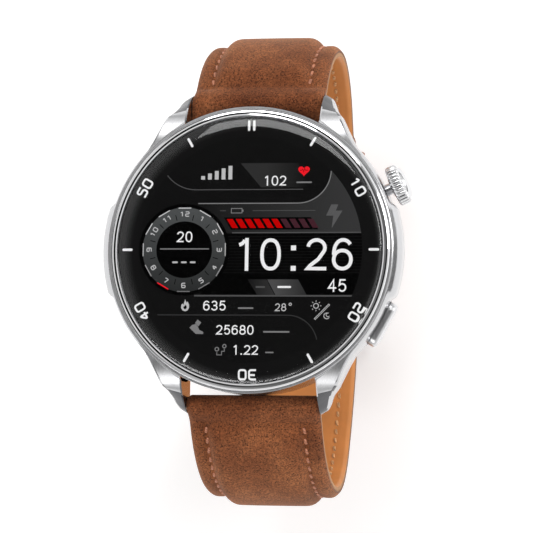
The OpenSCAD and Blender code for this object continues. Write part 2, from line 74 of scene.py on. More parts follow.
BAR = [v / MM for v in JOINTS["strap_open"]["pos_m"]]
BAR_Y, BAR_Z = BAR[1], BAR[2]
BUCKLE = [v / MM for v in JOINTS["buckle_swing"]["pos_m"]]
UPPER_R = hypot(BUCKLE[1], BUCKLE[2] - BAR_Z)
BUCKLE_AT = math.degrees(math.atan2(BUCKLE[2] - BAR_Z, BUCKLE[1]))
HALF_END = 1.1
HALF_LUG = 1.7
LOWER_R = UPPER_R + 2 * HALF_END + 0.45
STRAP_W = node_box("upper_leather")[1][0] * 2
TAIL_W = 20.0
TURN_AT = -51.0
TAIL_END = -54.0
THIN_AT = -58.5
PAD_END = -106.0
HOLE_AT = -89.4
FRONT_AT = -102.5     # the buckle's front bar
FRONT_R = LOWER_R + HALF_END + 1.3
TRIM_R = 23.45        # the case wall between two lugs
LUG_IN = 11.1         # half the gap between two lugs
FLANK = 2.2          # thickness of the strap outside its thread rows
INSET = 2.8          # from the strap's edge to a thread row
FOLD_R = 1.73
GLASS_TOP = node_box("cover_glass")[1][2]
PANEL_TOP = node_box("display_panel")[1][2]
GLASS_LOW = node_box("cover_glass")[0][2]
DIAL_SCALE = 0.985    # the display's drawing is laid out a little too wide
DIAL_EDGE = 18.75     # where the display ends, in the drawing's own size
CROWN_AXIS = Vector(JOINTS["crown_turn"]["axis"])
BUTTON_AXIS = -Vector(JOINTS["button_press"]["axis"])
SIDE_Z = JOINTS["crown_turn"]["pos_m"][2] / MM

# ------------------------------------------------------------------ camera and light


def make_camera():
    view_w = 86.6
    distance = 430.0
    tilt_x, tilt_y = 10.5, 5.8
    back = Vector((sin(radians(tilt_x)), -sin(radians(tilt_y)), 1.0)).normalized()
    data = bpy.data.cameras.new("camera")
    camera = bpy.data.objects.new("camera", data)
    bpy.context.scene.collection.objects.link(camera)
    data.sensor_width = 36.0
    data.lens = 36.0 * distance / view_w
    data.clip_start, data.clip_end = 0.01, 10.0
    roll = radians(1.0)
    up = Vector((-sin(roll), cos(roll), 0.0))
    right = up.cross(back).normalized()
    up = back.cross(right).normalized()
    target = Vector((0, 0, 11.0)) + right * 2.83 - up * 2.8
    place = target + back * distance
    camera.matrix_world = Matrix((
        (right.x, up.x, back.x, place.x * MM),
        (right.y, up.y, back.y, place.y * MM),
        (right.z, up.z, back.z, place.z * MM),
        (0, 0, 0, 1),
    ))
    bpy.context.scene.camera = camera


def area_light(name, place, size, power):
    """A softbox that faces the watch."""
    data = bpy.data.lights.new(name, "AREA")
    data.shape = "RECTANGLE"
    data.size, data.size_y = size
    data.energy = power
    light = bpy.data.objects.new(name, data)
    light.location = place
    light.rotation_mode = "QUATERNION"
    light.rotation_quaternion = (-Vector(place)).to_track_quat("-Z", "Y")
    bpy.context.scene.collection.objects.link(light)


def make_light():
    """Three softboxes and a bright room with a dark card straight above the dial."""
    world = bpy.data.worlds.new("studio")
    world.use_nodes = True
    tree = world.node_tree
    coords = tree.nodes.new("ShaderNodeTexCoord")
    split = tree.nodes.new("ShaderNodeSeparateXYZ")
    ramp = tree.nodes.new("ShaderNodeValToRGB")
    stops = [(0.0, 0.10), (0.10, 0.12), (0.22, 1.0), (0.80, 1.0), (0.945, 0.012)]
    while len(ramp.color_ramp.elements) < len(stops):
        ramp.color_ramp.elements.new(0.5)
    for element, (at, level) in zip(ramp.color_ramp.elements, stops):
        element.position = at
        element.color = (level, level, level, 1)
    tree.links.new(coords.outputs["Generated"], split.inputs["Vector"])
    tree.links.new(split.outputs["Z"], ramp.inputs["Fac"])
    tree.links.new(ramp.outputs["Color"], tree.nodes["Background"].inputs["Color"])
    tree.nodes["Background"].inputs["Strength"].default_value = 0.85
    bpy.context.scene.world = world
    area_light("key", (-0.05, 0.68, 1.00), (0.75, 0.42), 4.6)
    area_light("rim", (0.95, 0.35, 0.50), (0.5, 0.5), 4.0)
    area_light("fill", (-0.45, -0.75, 0.75), (0.45, 0.45), 2.6)
    bpy.context.scene.view_settings.view_transform = "Standard"


def make_floor():
    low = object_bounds()[0].z
    mesh = bpy.data.meshes.new("floor")
    size = 1.5
    corners = [(-size, -size, 0), (size, -size, 0), (size, size, 0), (-size, size, 0)]
    mesh.from_pydata(corners, [], [(0, 1, 2, 3)])
    floor = bpy.data.objects.new("floor", mesh)
    floor.location.z = low - 0.0005
    bpy.context.scene.collection.objects.link(floor)
    paint = plain("floor_white", (0.95, 0.95, 0.95), 0.7, spread=0.002)
    glow = paint.node_tree.nodes["Principled BSDF"]
    glow.inputs["Emission Color"].default_value = (1, 1, 1, 1)
    glow.inputs["Emission Strength"].default_value = 0.22
    mesh.materials.append(paint)


# ------------------------------------------------------------------ materials


class Nodes:
    """A small helper that adds and links shader nodes."""

    def __init__(self, name):
        self.material = bpy.data.materials.new(name)
        self.material.use_nodes = True
        self.tree = self.material.node_tree
        self.shader = self.tree.nodes["Principled BSDF"]

    def add(self, kind, **values):
        node = self.tree.nodes.new(kind)
        for key, value in values.items():
            setattr(node, key, value)
        return node

    def link(self, a, b):
        self.tree.links.new(a, b)

    def set(self, **values):
        for key, value in values.items():
            self.shader.inputs[key.replace("_", " ")].default_value = value

    def place(self, scale=(1, 1, 1), rotation=(0, 0, 0)):
        coords = self.add("ShaderNodeTexCoord")
        mapping = self.add("ShaderNodeMapping")
        mapping.inputs["Scale"].default_value = scale
        mapping.inputs["Rotation"].default_value = rotation
        self.link(coords.outputs["Object"], mapping.inputs["Vector"])
        return mapping.outputs["Vector"]

    def noise(self, vector, scale, detail=4.0, rough=0.6):
        node = self.add("ShaderNodeTexNoise")
        node.inputs["Scale"].default_value = scale
        node.inputs["Detail"].default_value = detail
        node.inputs["Roughness"].default_value = rough
        self.link(vector, node.inputs["Vector"])
        return node.outputs["Fac"]

    def ramp(self, factor, stops):
        node = self.add("ShaderNodeValToRGB")
        elements = node.color_ramp.elements
        while len(elements) < len(stops):
            elements.new(0.5)
        for element, (at, color) in zip(elements, stops):
            element.position = at
            element.color = (*color, 1) if len(color) == 3 else color
        self.link(factor, node.inputs["Fac"])
        return node.outputs["Color"]

    def feed(self, socket, source):
        """Feeds one input of the surface shader."""
        self.link(source, self.shader.inputs[socket])

    def times(self, a, b):
        node = self.add("ShaderNodeMix", data_type="RGBA", blend_type="MULTIPLY")
        node.inputs["Factor"].default_value = 1.0
        self.link(a, node.inputs["A"])
        self.link(b, node.inputs["B"])
        return node.outputs["Result"]

    def bump(self, height, strength, distance, normal=None):
        node = self.add("ShaderNodeBump")
        node.inputs["Strength"].default_value = strength
        node.inputs["Distance"].default_value = distance
        self.link(height, node.inputs["Height"])
        if normal:
            self.link(normal, node.inputs["Normal"])
        return node.outputs["Normal"]

    def between(self, vector, axis, low, high):
        """From 0 to 1 along an axis, between two places in metres."""
        split = self.add("ShaderNodeSeparateXYZ")
        self.link(vector, split.inputs["Vector"])
        node = self.add("ShaderNodeMapRange")
        node.inputs["From Min"].default_value = low
        node.inputs["From Max"].default_value = high
        self.link(split.outputs[axis], node.inputs["Value"])
        return node.outputs["Result"]

    def span(self, factor, low, high):
        node = self.add("ShaderNodeMapRange")
        node.inputs["To Min"].default_value = low
        node.inputs["To Max"].default_value = high
        self.link(factor, node.inputs["Value"])
        return node.outputs["Result"]


def shade(color, factor):
    return tuple(min(1, c * factor) for c in color)


def plain(name, color, rough, metal=0.0, grain=900.0, depth=0.00002, spread=0.06):
    """A moulded or painted surface with a fine grain."""
    n = Nodes(name)
    n.set(Metallic=metal)
    vector = n.place()
    fine = n.noise(vector, grain, 3.0)
    dark = shade(color, 1 - spread)
    light = shade(color, 1 + spread)
    n.feed("Base Color", n.ramp(fine, [(0.35, dark), (0.65, light)]))
    n.feed("Roughness", n.span(fine, rough * 0.85, min(1, rough * 1.15)))
    n.feed("Normal", n.bump(fine, 0.3, depth))
    return n.material


def brushed(name, color=(0.66, 0.66, 0.67), rough=0.28, scale=(9000, 120, 9000), depth=0.000004):
    """Steel with fine parallel brush marks."""
    n = Nodes(name)
    n.set(Metallic=1.0)
    lines = n.noise(n.place(scale), 1.0, 3.0, 0.7)
    n.feed("Base Color", n.ramp(lines, [(0.3, shade(color, 0.86)), (0.7, shade(color, 1.1))]))
    n.feed("Roughness", n.span(lines, rough * 0.75, rough * 1.3))
    n.feed("Normal", n.bump(lines, 0.35, depth))
    return n.material


def polished(name, color=(0.78, 0.78, 0.79), rough=0.07):
    """Polished steel with faint handling marks."""
    n = Nodes(name)
    n.set(Metallic=1.0)
    marks = n.noise(n.place(), 260.0, 5.0, 0.7)
    n.feed("Base Color", n.ramp(marks, [(0.3, shade(color, 0.97)), (0.7, color)]))
    n.feed("Roughness", n.span(marks, rough * 0.7, rough * 1.5))
    return n.material


def nubuck(name):
    """Brown leather with a sanded nap, dark pores and worn lighter patches."""
    n = Nodes(name)
    vector = n.place()
    patches = n.noise(vector, 110.0, 5.0, 0.62)
    grain = n.noise(vector, 3000.0, 3.0, 0.7)
    pores = n.noise(vector, 4300.0, 1.0, 0.4)
    base = n.ramp(patches, [(0.30, (0.145, 0.045, 0.016)), (0.50, (0.250, 0.086, 0.031)),
                            (0.72, (0.360, 0.138, 0.053))])
    tone = n.ramp(grain, [(0.34, (0.50, 0.50, 0.52)), (0.5, (0.98, 0.96, 0.95)), (0.64, (1.5, 1.42, 1.35))])
    dots = n.ramp(pores, [(0.33, (0.30, 0.32, 0.38)), (0.44, (1.05, 1.05, 1.05))])
    # darker and redder towards the case, over heights from -8 mm to 6 mm
    near_lugs = n.between(vector, 2, -0.008, 0.006)
    darker_near_case = n.ramp(near_lugs, [(0.0, (1, 1, 1)), (1.0, (0.70, 0.62, 0.60))])
    worn = n.times(n.times(base, tone), dots)
    n.feed("Base Color", n.times(worn, darker_near_case))
    n.set(Roughness=0.9, Specular_IOR_Level=0.2, Sheen_Weight=0.25, Sheen_Roughness=0.45)
    n.shader.inputs["Sheen Tint"].default_value = (0.85, 0.55, 0.38, 1)
    first = n.bump(grain, 0.5, 0.00006)
    n.feed("Normal", n.bump(pores, 0.4, 0.00005, first))
    return n.material


def smooth_leather(name, color=(0.66, 0.255, 0.07)):
    """Orange-tan lining leather with fine pores and faint cross creases."""
    n = Nodes(name)
    vector = n.place()
    patches = n.noise(vector, 120.0, 4.0, 0.55)
    pores = n.noise(vector, 2600.0, 3.0, 0.6)
    creases = n.noise(n.place((120, 900, 900)), 1.0, 3.0, 0.55)
    n.feed("Base Color", n.ramp(patches, [(0.3, shade(color, 0.86)), (0.7, shade(color, 1.12))]))
    n.feed("Roughness", n.span(pores, 0.42, 0.6))
    n.set(Specular_IOR_Level=0.35)
    first = n.bump(creases, 0.25, 0.00006)
    n.feed("Normal", n.bump(pores, 0.3, 0.00002, first))
    return n.material


def cut_edge(name, color):
    """The cut edge of leather, fibrous and dull."""
    n = Nodes(name)
    fibres = n.noise(n.place((1500, 1500, 1500)), 1.0, 4.0, 0.7)
    n.feed("Base Color", n.ramp(fibres, [(0.3, shade(color, 0.7)), (0.7, color)]))
    n.set(Roughness=0.8)
    n.feed("Normal", n.bump(fibres, 0.5, 0.00005))
    return n.material


def waxed_thread(name, color):
    """Twisted thread: slanted strands along each stitch."""
    n = Nodes(name)
    wave = n.add("ShaderNodeTexWave", wave_type="BANDS", bands_direction="DIAGONAL")
    wave.inputs["Scale"].default_value = 900.0
    wave.inputs["Distortion"].default_value = 1.5
    n.link(n.place(), wave.inputs["Vector"])
    strands = wave.outputs["Fac"]
    n.feed("Base Color", n.ramp(strands, [(0.1, shade(color, 0.6)), (0.8, color)]))
    n.set(Roughness=0.55)
    n.feed("Normal", n.bump(strands, 0.6, 0.00006))
    return n.material


def clear_glass(name, tint=(0.98, 0.98, 1.0), rough=0.0, strength=1.0):
    n = Nodes(name)
    n.set(Roughness=rough, IOR=1.5, Transmission_Weight=strength)
    smears = n.noise(n.place(), 40.0, 2.0)
    n.feed("Base Color", n.ramp(smears, [(0.3, tint), (0.7, (1, 1, 1))]))
    return n.material


def lit(name, color, rough=0.5):
    """A lit part of the display, with the faint grid of its cells. The print under the glass uses it too,
    where the glow is painted light.
    """
    n = Nodes(name)
    cells = n.noise(n.place(), 9000.0, 1.0)
    glow = n.ramp(cells, [(0.2, shade(color, 0.94)), (0.8, color)])
    n.feed("Emission Color", glow)
    n.feed("Roughness", n.span(cells, rough * 0.9, rough * 1.1))
    n.set(Base_Color=(0.002, 0.002, 0.002, 1), Emission_Strength=1.0, Specular_IOR_Level=0.0)
    return n.material


def faded(name, color, low, high, axis=0):
    """A lit part that fades from black to its colour between two places, in millimetres."""
    n = Nodes(name)
    along = n.between(n.place(), axis, low * MM, high * MM)
    n.feed("Emission Color", n.ramp(along, [(0.0, shade(color, 0.18)), (1.0, color)]))
    n.set(Base_Color=(0.002, 0.002, 0.002, 1), Emission_Strength=1.0, Specular_IOR_Level=0.0)
    return n.material


# ------------------------------------------------------------------ mesh building


def add_mesh(name, points, faces, materials, smooth=True):
    mesh = bpy.data.meshes.new(name)
    mesh.from_pydata([tuple(c * MM for c in p) for p in points], [], faces)
    mesh.validate()
    piece = bpy.data.objects.new(name, mesh)
    bpy.context.scene.collection.objects.link(piece)
    for material in materials:
        mesh.materials.append(material)
    for face in mesh.polygons:
        face.use_smooth = smooth
    outward(mesh)
    return piece


def outward(mesh):
    work = bmesh.new()
    work.from_mesh(mesh)
    bmesh.ops.recalc_face_normals(work, faces=work.faces)
    work.to_mesh(mesh)
    work.free()


def loft(rings, closed_path=False):
    """Points and faces of a tube of equal rings."""
    count = len(rings[0])
    points = [p for ring in rings for p in ring]
    faces = []
    last = len(rings) if closed_path else len(rings) - 1
    for i in range(last):
        a, b = i * count, ((i + 1) % len(rings)) * count
        for k in range(count):
            faces.append((a + k, a + (k + 1) % count, b + (k + 1) % count, b + k))
    if not closed_path:
        faces.append(tuple(range(count - 1, -1, -1)))
        faces.append(tuple(range(len(points) - count, len(points))))
    return points, faces


def merge(parts):
    """Joins (points, faces) pairs into one pair."""
    points, faces = [], []
    for more_points, more_faces in parts:
        start = len(points)
        points += more_points
        faces += [tuple(i + start for i in f) for f in more_faces]
    return points, faces


def sharp(piece, degrees=35):
    """Marks edges sharper than the angle, so flat facets stay crisp beside smooth ones."""
    limit = radians(degrees)
    work = bmesh.new()
    work.from_mesh(piece.data)
    for edge in work.edges:
        if len(edge.link_faces) == 2:
            edge.smooth = edge.calc_face_angle(0) < limit
    work.to_mesh(piece.data)
    work.free()


def apply_modifiers(piece):
    graph = bpy.context.evaluated_depsgraph_get()
    mesh = bpy.data.meshes.new_from_object(piece.evaluated_get(graph))
    piece.modifiers.clear()
    piece.data = mesh


def cut(piece, cutter):
    """Removes cutter's space from piece."""
    mod = piece.modifiers.new("cut", "BOOLEAN")
    mod.operation = "DIFFERENCE"
    mod.solver = "EXACT"
    mod.object = cutter
    apply_modifiers(piece)
    bpy.data.objects.remove(cutter)


def turn(k, count):
    """The angle of step k of count steps round a circle."""
    return 2 * pi * k / count


def ease(t):
    t = min(1.0, max(0.0, t))
    return t * t * (3 - 2 * t)


# ------------------------------------------------------------------ strap


def polar(r, degrees):
    a = radians(degrees)
    return r * cos(a), BAR_Z + r * sin(a)


class Half:
    """One strap half: its middle line, thickness and width, from the lug bar (u = 0) to its end (u = 2)."""

    def __init__(self, side, r, last, thin_to, tip):
        self.side, self.r, self.last, self.thin_to, self.tip = side, r, last, thin_to, tip
        c, s = cos(radians(TURN_AT)), sin(radians(TURN_AT))
        dy, dz = r * c - BAR_Y, r * s
        self.shoulder = (dy * dy + dz * dz) / (2 * (dy * c + dz * s))
        self.center = polar(r - self.shoulder, TURN_AT)
        self.start = math.degrees(math.atan2(BAR_Z - self.center[1], BAR_Y - self.center[0]))
        self.length = [0.0]
        before = self.mid(0)
        for i in range(1, 401):
            now = self.mid(i / 200)
            self.length.append(self.length[-1] + hypot(now[0] - before[0], now[1] - before[1]))
            before = now

    def mid(self, u):
        """Point and outward normal, for the 12 o'clock side."""
        if u <= 1:
            a = self.start * (1 - u) + TURN_AT * u
            c, s = cos(radians(a)), sin(radians(a))
            return self.center[0] + self.shoulder * c, self.center[1] + self.shoulder * s, c, s
        a = TURN_AT + (self.last - TURN_AT) * (u - 1)
        y, z = polar(self.r, a)
        return y, z, cos(radians(a)), sin(radians(a))

    def angle(self, u):
        return TURN_AT if u <= 1 else TURN_AT + (self.last - TURN_AT) * (u - 1)

    def u_at(self, distance):
        """u at a distance in millimetres along the middle line."""
        low, high = 0, len(self.length) - 1
        while high - low > 1:
            m = (low + high) // 2
            if self.length[m] < distance:
                low = m
            else:
                high = m
        span = self.length[high] - self.length[low]
        return (low + (distance - self.length[low]) / max(span, 1e-9)) / 200

    def along(self, u):
        i = min(len(self.length) - 2, int(u * 200))
        return self.length[i] + (u * 200 - i) * (self.length[i + 1] - self.length[i])

    def half_thick(self, u):
        return HALF_LUG + (HALF_END - HALF_LUG) * ease((self.angle(u) - TURN_AT) / (self.thin_to - TURN_AT))

    def half_width(self, u):
        w = STRAP_W / 2 + (TAIL_W - STRAP_W) / 2 * ease((u - 0.45) / 0.9)
        if self.tip:
            t = max(0.0, (u - 2 + self.tip) / self.tip)
            w *= sqrt(max(0.04, 1 - t ** 2.4))
        return w

    def panel(self, u):
        """How far the padded middle panel stands above the flanks at u."""
        s = self.along(u)
        lift = 2 * self.half_thick(u) - FLANK + 0.05
        return lift * ease((s - 0.8) / 5.2) + 0.1

    def top(self, u, x):
        """Height of the outer face over the middle line at x."""
        h, w = self.half_thick(u), self.half_width(u)
        s = self.along(u)
        d = w - abs(x)
        wrap = 1 - ease((s - 0.2) / 3.2)
        flank = -h + FLANK
        edge = -0.85 * max(0.0, 1 - d / 1.35) ** 2.2
        sewn = ease((s - 2.4) / 1.4)
        groove = -0.34 * sewn * math.exp(-((d - INSET) / 0.42) ** 2)
        climb = min(1.0, max(0.0, (d - INSET + 0.1) / 3.1))
        rise = ease((1 - (1 - climb) ** 2.2) * 0.86 + climb * 0.14)
        crown = 0.12 * (1 - (x / max(w, 1)) ** 2)
        open_height = flank + groove + self.panel(u) * rise + crown * rise
        crease = -0.22 * math.exp(-((s - 2.8) / 0.5) ** 2) * ease((d - 0.4) / 2)
        return (FOLD_R - 0.05) * wrap + open_height * (1 - wrap) + edge + crease

    def place(self, u, x, height):
        y, z, ny, nz = self.mid(u)
        return (x, self.side * (y + ny * height), z + nz * height)


def across(w, count, spread=0.78):
    """Positions across the strap, closer together near its edges."""
    out = []
    for i in range(count):
        t = -1 + 2 * i / (count - 1)
        out.append(w * (t * (1 - spread) + sin(t * pi / 2) * spread))
    return out


def back_row(w):
    """Positions across the hidden side of a strap layer, in the order that closes its ring."""
    return (w - 0.02, w * 0.5, -w * 0.5, -w + 0.02)


def layer(name, rings, top_count, face, edge):
    """A strap layer lofted from its rings, with its cut sides in the second material."""
    points, faces = loft(rings)
    count = len(rings[0])
    side = {top_count - 1, top_count, count - 1, 0}
    piece = add_mesh(name, points, faces, [face, edge])
    for polygon, corners in zip(piece.data.polygons, faces):
        on_side = len(corners) == 4 and {i % count for i in corners} <= side
        polygon.material_index = 1 if on_side else 0
    return piece


def make_leather(half, name, edge, face):
    """The outer leather, with its fold over the lug bar."""
    count = 61
    rings = []
    for i in range(20):
        a = radians(282 - (282 - half.start) * i / 20)
        w = STRAP_W / 2
        ring = []
        for x in across(w, count):
            d = w - abs(x)
            out = FOLD_R - 0.35 * (1 - ease(d / 0.7))
            skirt = 0.0
            if half.side > 0 and cos(a) < 0:
                room = BAR_Y - FOLD_R - sqrt(TRIM_R ** 2 - x * x) - 0.45
                skirt = max(0.0, room) * sqrt(-cos(a))
            ring.append((x, half.side * (BAR_Y + out * cos(a) - skirt), BAR_Z + out * sin(a)))
        for x in back_row(w):
            ring.append((x, half.side * (BAR_Y + 1.0 * cos(a)), BAR_Z + 1.0 * sin(a)))
        rings.append(ring)
    total = half.length[-1]
    steps = int(total / 0.55)
    us = [half.u_at(total * i / steps) for i in range(1, steps)]
    if half.tip:
        us += [2 - half.tip * 0.35 * (1 - k / 12) ** 2 for k in range(13)]
        us = sorted(set(round(u, 5) for u in us))
    us[-1] = min(us[-1], 1.9999)
    for u in us:
        w = half.half_width(u)
        h = half.half_thick(u)
        s = half.along(u)
        under = 1.0 * (1 - ease(s / 2.5)) + (-h + FLANK * 0.48) * ease(s / 2.5)
        ring = [half.place(u, x, half.top(u, x)) for x in across(w, count)]
        for x in back_row(w):
            ring.append(half.place(u, x, under))
        rings.append(ring)
    return layer(name, rings, count, face, edge)


def make_lining(half, name, edge, face):
    """The inner leather, with a faint dip along its thread rows."""
    count = 41
    total = half.length[-1]
    steps = int(total / 0.8)
    rings = []
    for i in range(steps + 1):
        u = min(1.9999, half.u_at(1.2 + (total - 1.2) * i / steps))
        w = half.half_width(u) - 0.05
        h = half.half_thick(u)
        ring = []
        for x in across(w, count):
            d = w - abs(x)
            dip = 0.16 * math.exp(-((d - INSET + 0.3) / 0.35) ** 2)
            ring.append(half.place(u, x, -h + 0.35 * (1 - ease(d / 0.6)) + dip))
        for x in back_row(w):
            ring.append(half.place(u, x, -h + FLANK * 0.48))
        rings.append(ring)
    return layer(name, rings, count, face, edge)


def through_strap(outline, degrees, r):
    """A cutter that passes the strap at an angle; t in the outline runs along the strap."""
    out = (cos(radians(degrees)), sin(radians(degrees)))
    rings = []
    for reach in (r - 3, r + 3):
        rings.append([(x, out[0] * reach - out[1] * t, BAR_Z + out[1] * reach + out[0] * t)
                      for x, t in outline])
    return loft(rings)


def tail_hole_cutter():
    """Six rounded slots through the tail, long along the strap."""
    outline = arc_points(0, 1.3, 1.2, 0, 180, 14) + arc_points(0, -1.3, 1.2, 180, 360, 14)
    points, faces = merge([through_strap(outline, HOLE_AT + 8.4 * (i - 2), LOWER_R) for i in range(6)])
    return add_mesh("cutter", points, faces, [])


def tongue_slot_cutter():
    """The slot for the tongue in the strap's end at the buckle."""
    outline = arc_points(0, 2.6, 1.3, 0, 180, 14) + [(-1.3, -4), (1.3, -4)]
    points, faces = through_strap(outline, BUCKLE_AT, UPPER_R)
    return add_mesh("cutter", points, faces, [])


def make_padding(half, name, end, material):
    """The crowned pad that fills out the middle panel."""
    rings = []
    for i in range(61):
        u = half.u_at(half.length[-1] * (0.04 + (end - 0.04) * i / 60))
        w = half.half_width(u) - INSET - 0.5
        h = half.half_thick(u)
        low = -h + FLANK * 0.5
        fade = ease(i / 6) * ease((60 - i) / 6)
        ring = []
        for x in across(w, 21):
            full = half.top(u, x) - 0.62
            ring.append(half.place(u, x, low + 0.05 + max(0.03, (full - low) * fade)))
        for x in across(w, 9):
            ring.append(half.place(u, -x, low))
        rings.append(ring)
    points, faces = loft(rings)
    return add_mesh(name, points, faces, [material])


def stitch(half, u, x, on_top, length):
    """One stitch: a short thread that rises from its hole and dives again."""
    r = 0.26
    lean = 0.16 * (1 if x > 0 else -1) * (1 if on_top else -1)
    middle = half.along(u)
    rings = []
    sides = 8
    for i in range(7):
        t = -1 + 2 * i / 6
        s = middle + t * length / 2
        v = half.u_at(max(0.1, min(half.length[-1] - 0.1, s)))
        sunk = 0.42 * t ** 4
        arch = r * 0.55 - sunk
        wide = r * (1 - 0.35 * t ** 4)
        base = half.top(v, x) if on_top else -half.half_thick(v) + 0.14
        sign = 1 if on_top else -1
        ring = []
        for k in range(sides):
            a = turn(k, sides)
            px = x + lean * t * length * 0.5 + wide * cos(a)
            ring.append(half.place(v, px, base + sign * (arch + wide * 0.8 * sin(a))))
        rings.append(ring)
    return loft(rings)


def make_stitches(half, name, start, end, on_top, material):
    pitch = 2.05
    rng = random.Random(11)
    parts = []
    row_shift = 0.0 if on_top else 0.3
    count = int((end - start) / pitch)
    for sign in (-1, 1):
        for i in range(count):
            s = start + pitch * (i + 0.5)
            u = half.u_at(s)
            x = sign * (half.half_width(u) - INSET + row_shift)
            parts.append(stitch(half, u, x, on_top, 1.45 + rng.uniform(-0.08, 0.08)))
    points, faces = merge(parts)
    return add_mesh(name, points, faces, [material])


def rounded_bar(path_point, normal, along, wide, thick, corner=0.35, steps=3):
    """A rounded-rectangle ring about path_point, spanning along (wide) and normal (thick)."""
    ring = []
    hw, ht = wide / 2, thick / 2
    corner = min(corner, hw * 0.95, ht * 0.95)
    for cx, cy, a0 in ((hw, ht, 0), (-hw, ht, 90), (-hw, -ht, 180), (hw, -ht, 270)):
        ox = cx - math.copysign(corner, cx)
        oy = cy - math.copysign(corner, cy)
        for k in range(steps + 1):
            a = radians(a0 + 90 * k / steps)
            p = ox + corner * cos(a)
            q = oy + corner * sin(a)
            ring.append(tuple(path_point[j] + along[j] * p + normal[j] * q for j in range(3)))
    return ring


def wrist_vec(degrees):
    """Outward and onward unit vectors at an angle about the loop's middle."""
    a = radians(degrees)
    return (0, cos(a), sin(a)), (0, -sin(a), cos(a))


def make_keeper(node, name, face):
    """A leather loop round both halves where the closed strap overlaps, with rounded corners."""
    lo, hi = node_box(node)
    middle = math.degrees(math.atan2((lo[2] + hi[2]) / 2 - BAR_Z, (lo[1] + hi[1]) / 2))
    out, on = wrist_vec(middle)
    r_in = UPPER_R - HALF_END - 0.3
    r_out = LOWER_R + HALF_END + 0.3
    half_w, thick, corner = 10.35, 1.1, 1.5
    mid_r = (r_in + r_out) / 2
    half_r = (r_out - r_in) / 2
    loop = []
    for sx, sr, a0 in ((1, 1, 0), (-1, 1, 90), (-1, -1, 180), (1, -1, 270)):
        for k in range(7):
            a = radians(a0 + 15 * k)
            x = sx * (half_w + thick / 2 - corner) + corner * cos(a)
            r = sr * (half_r + thick / 2 - corner) + corner * sin(a)
            loop.append((x, r, cos(a), sin(a)))
    full = []
    for i, item in enumerate(loop):
        after = loop[(i + 1) % len(loop)]
        full.append(item)
        gap = hypot(after[0] - item[0], after[1] - item[1])
        more = int(gap / 1.2)
        for k in range(1, more):
            t = k / more
            full.append(tuple(item[j] * (1 - t) + after[j] * t for j in range(4)))
    rings = []
    for x, r, nx, nr in full:
        centre = (x, out[1] * (mid_r + r), BAR_Z + out[2] * (mid_r + r))
        normal = (nx, out[1] * nr, out[2] * nr)
        rings.append(rounded_bar(centre, normal, on, 5.6, thick, 0.3))
    points, faces = loft(rings, closed_path=True)
    return add_mesh(name, points, faces, [face])


# ------------------------------------------------------------------ buckle


def heading(path, i):
    """The direction of a path at its point i."""
    before, after = path[max(0, i - 1)], path[min(len(path) - 1, i + 1)]
    return (Vector(after) - Vector(before)).normalized()


def smooth_path(points, rounds=3):
    """Rounds a path's corners by Chaikin cutting, keeping its ends."""
    for _ in range(rounds):
        out = [points[0]]
        for a, b in zip(points, points[1:]):
            out.append(tuple(a[k] * 0.75 + b[k] * 0.25 for k in range(3)))
            out.append(tuple(a[k] * 0.25 + b[k] * 0.75 for k in range(3)))
        out.append(points[-1])
        points = out
    return points


def sweep(path, up, sizes, corner):
    """A rounded bar along a path: up is the direction of its thickness, sizes gives (wide, thick)."""
    rings = []
    for i, p in enumerate(path):
        ahead = heading(path, i)
        lift = Vector(up)
        wide_dir = ahead.cross(lift).normalized()
        lift = wide_dir.cross(ahead).normalized()
        wide, thick = sizes(i / (len(path) - 1))
        rings.append(rounded_bar(p, lift, wide_dir, wide, thick, corner))
    return loft(rings)


def make_buckle(material):
    """The buckle's bow: two arms, a front bar and a boss at each end of its bar."""
    bar_out = 11.25

    def at(x, r, degrees):
        y, z = polar(r, degrees)
        return (x, y, z)

    arm = []
    for i in range(9):
        t = i / 8
        arm.append((UPPER_R + (FRONT_R - UPPER_R) * t, BUCKLE_AT + 0.6 + (FRONT_AT - BUCKLE_AT - 0.6) * t))
    left = [at(-bar_out - 0.25 * sin(pi * i / 8), r, a) for i, (r, a) in enumerate(arm)]
    right = [(-p[0], p[1], p[2]) for p in left]
    across_bar = [at(x, FRONT_R + 0.12, FRONT_AT - 0.5) for x in (-7, -3.5, 0, 3.5, 7)]
    path = smooth_path(left + across_bar + right[::-1])
    out, _ = wrist_vec((BUCKLE_AT + FRONT_AT) / 2)
    points, faces = sweep(path, out, lambda t: (1.75, 1.7), 0.55)
    bosses = []
    for sign in (-1, 1):
        rings = []
        for x, r in ((10.35, 0.9), (10.45, 1.2), (11.9, 1.2), (12.05, 1.05), (12.05, 0.62)):
            rings.append([(sign * x, BUCKLE[1] + r * cos(a), BUCKLE[2] + r * sin(a))
                          for a in [turn(k, 24) for k in range(24)]])
        bosses.append(loft(rings))
    points, faces = merge([(points, faces)] + bosses)
    return add_mesh("buckle_bow", points, faces, [material])


def make_tongue(material):
    """The tongue, from its eye round the bar, through the tail's hole to the front bar."""
    top_r = FRONT_R + 1.05
    stations = [(UPPER_R + 0.5, HOLE_AT + 3.2), (UPPER_R + 1.6, HOLE_AT + 1.5), (LOWER_R, HOLE_AT),
                (LOWER_R + 1.3, HOLE_AT - 1.7), (top_r - 0.6, HOLE_AT - 4.6), (top_r, HOLE_AT - 8.1),
                (top_r + 0.1, HOLE_AT - 11.5), (top_r + 0.05, FRONT_AT - 1.7)]
    path = smooth_path([(0, *polar(r, a)) for r, a in stations])
    points, faces = sweep(path, (1, 0, 0), lambda t: (0.95 - 0.25 * t, 1.75 - 0.35 * t), 0.3)
    rings = []
    for i in range(33):
        a = turn(i, 32)
        ny, nz = cos(a), sin(a)
        centre = (0, BUCKLE[1] + 0.9 * ny, BUCKLE[2] + 0.9 * nz)
        rings.append(rounded_bar(centre, (0, ny, nz), (1, 0, 0), 2.3, 0.46, 0.15))
    eye = loft(rings[:-1], closed_path=True)
    points, faces = merge([(points, faces), eye])
    return add_mesh("buckle_pin", points, faces, [material])


# ------------------------------------------------------------------ case


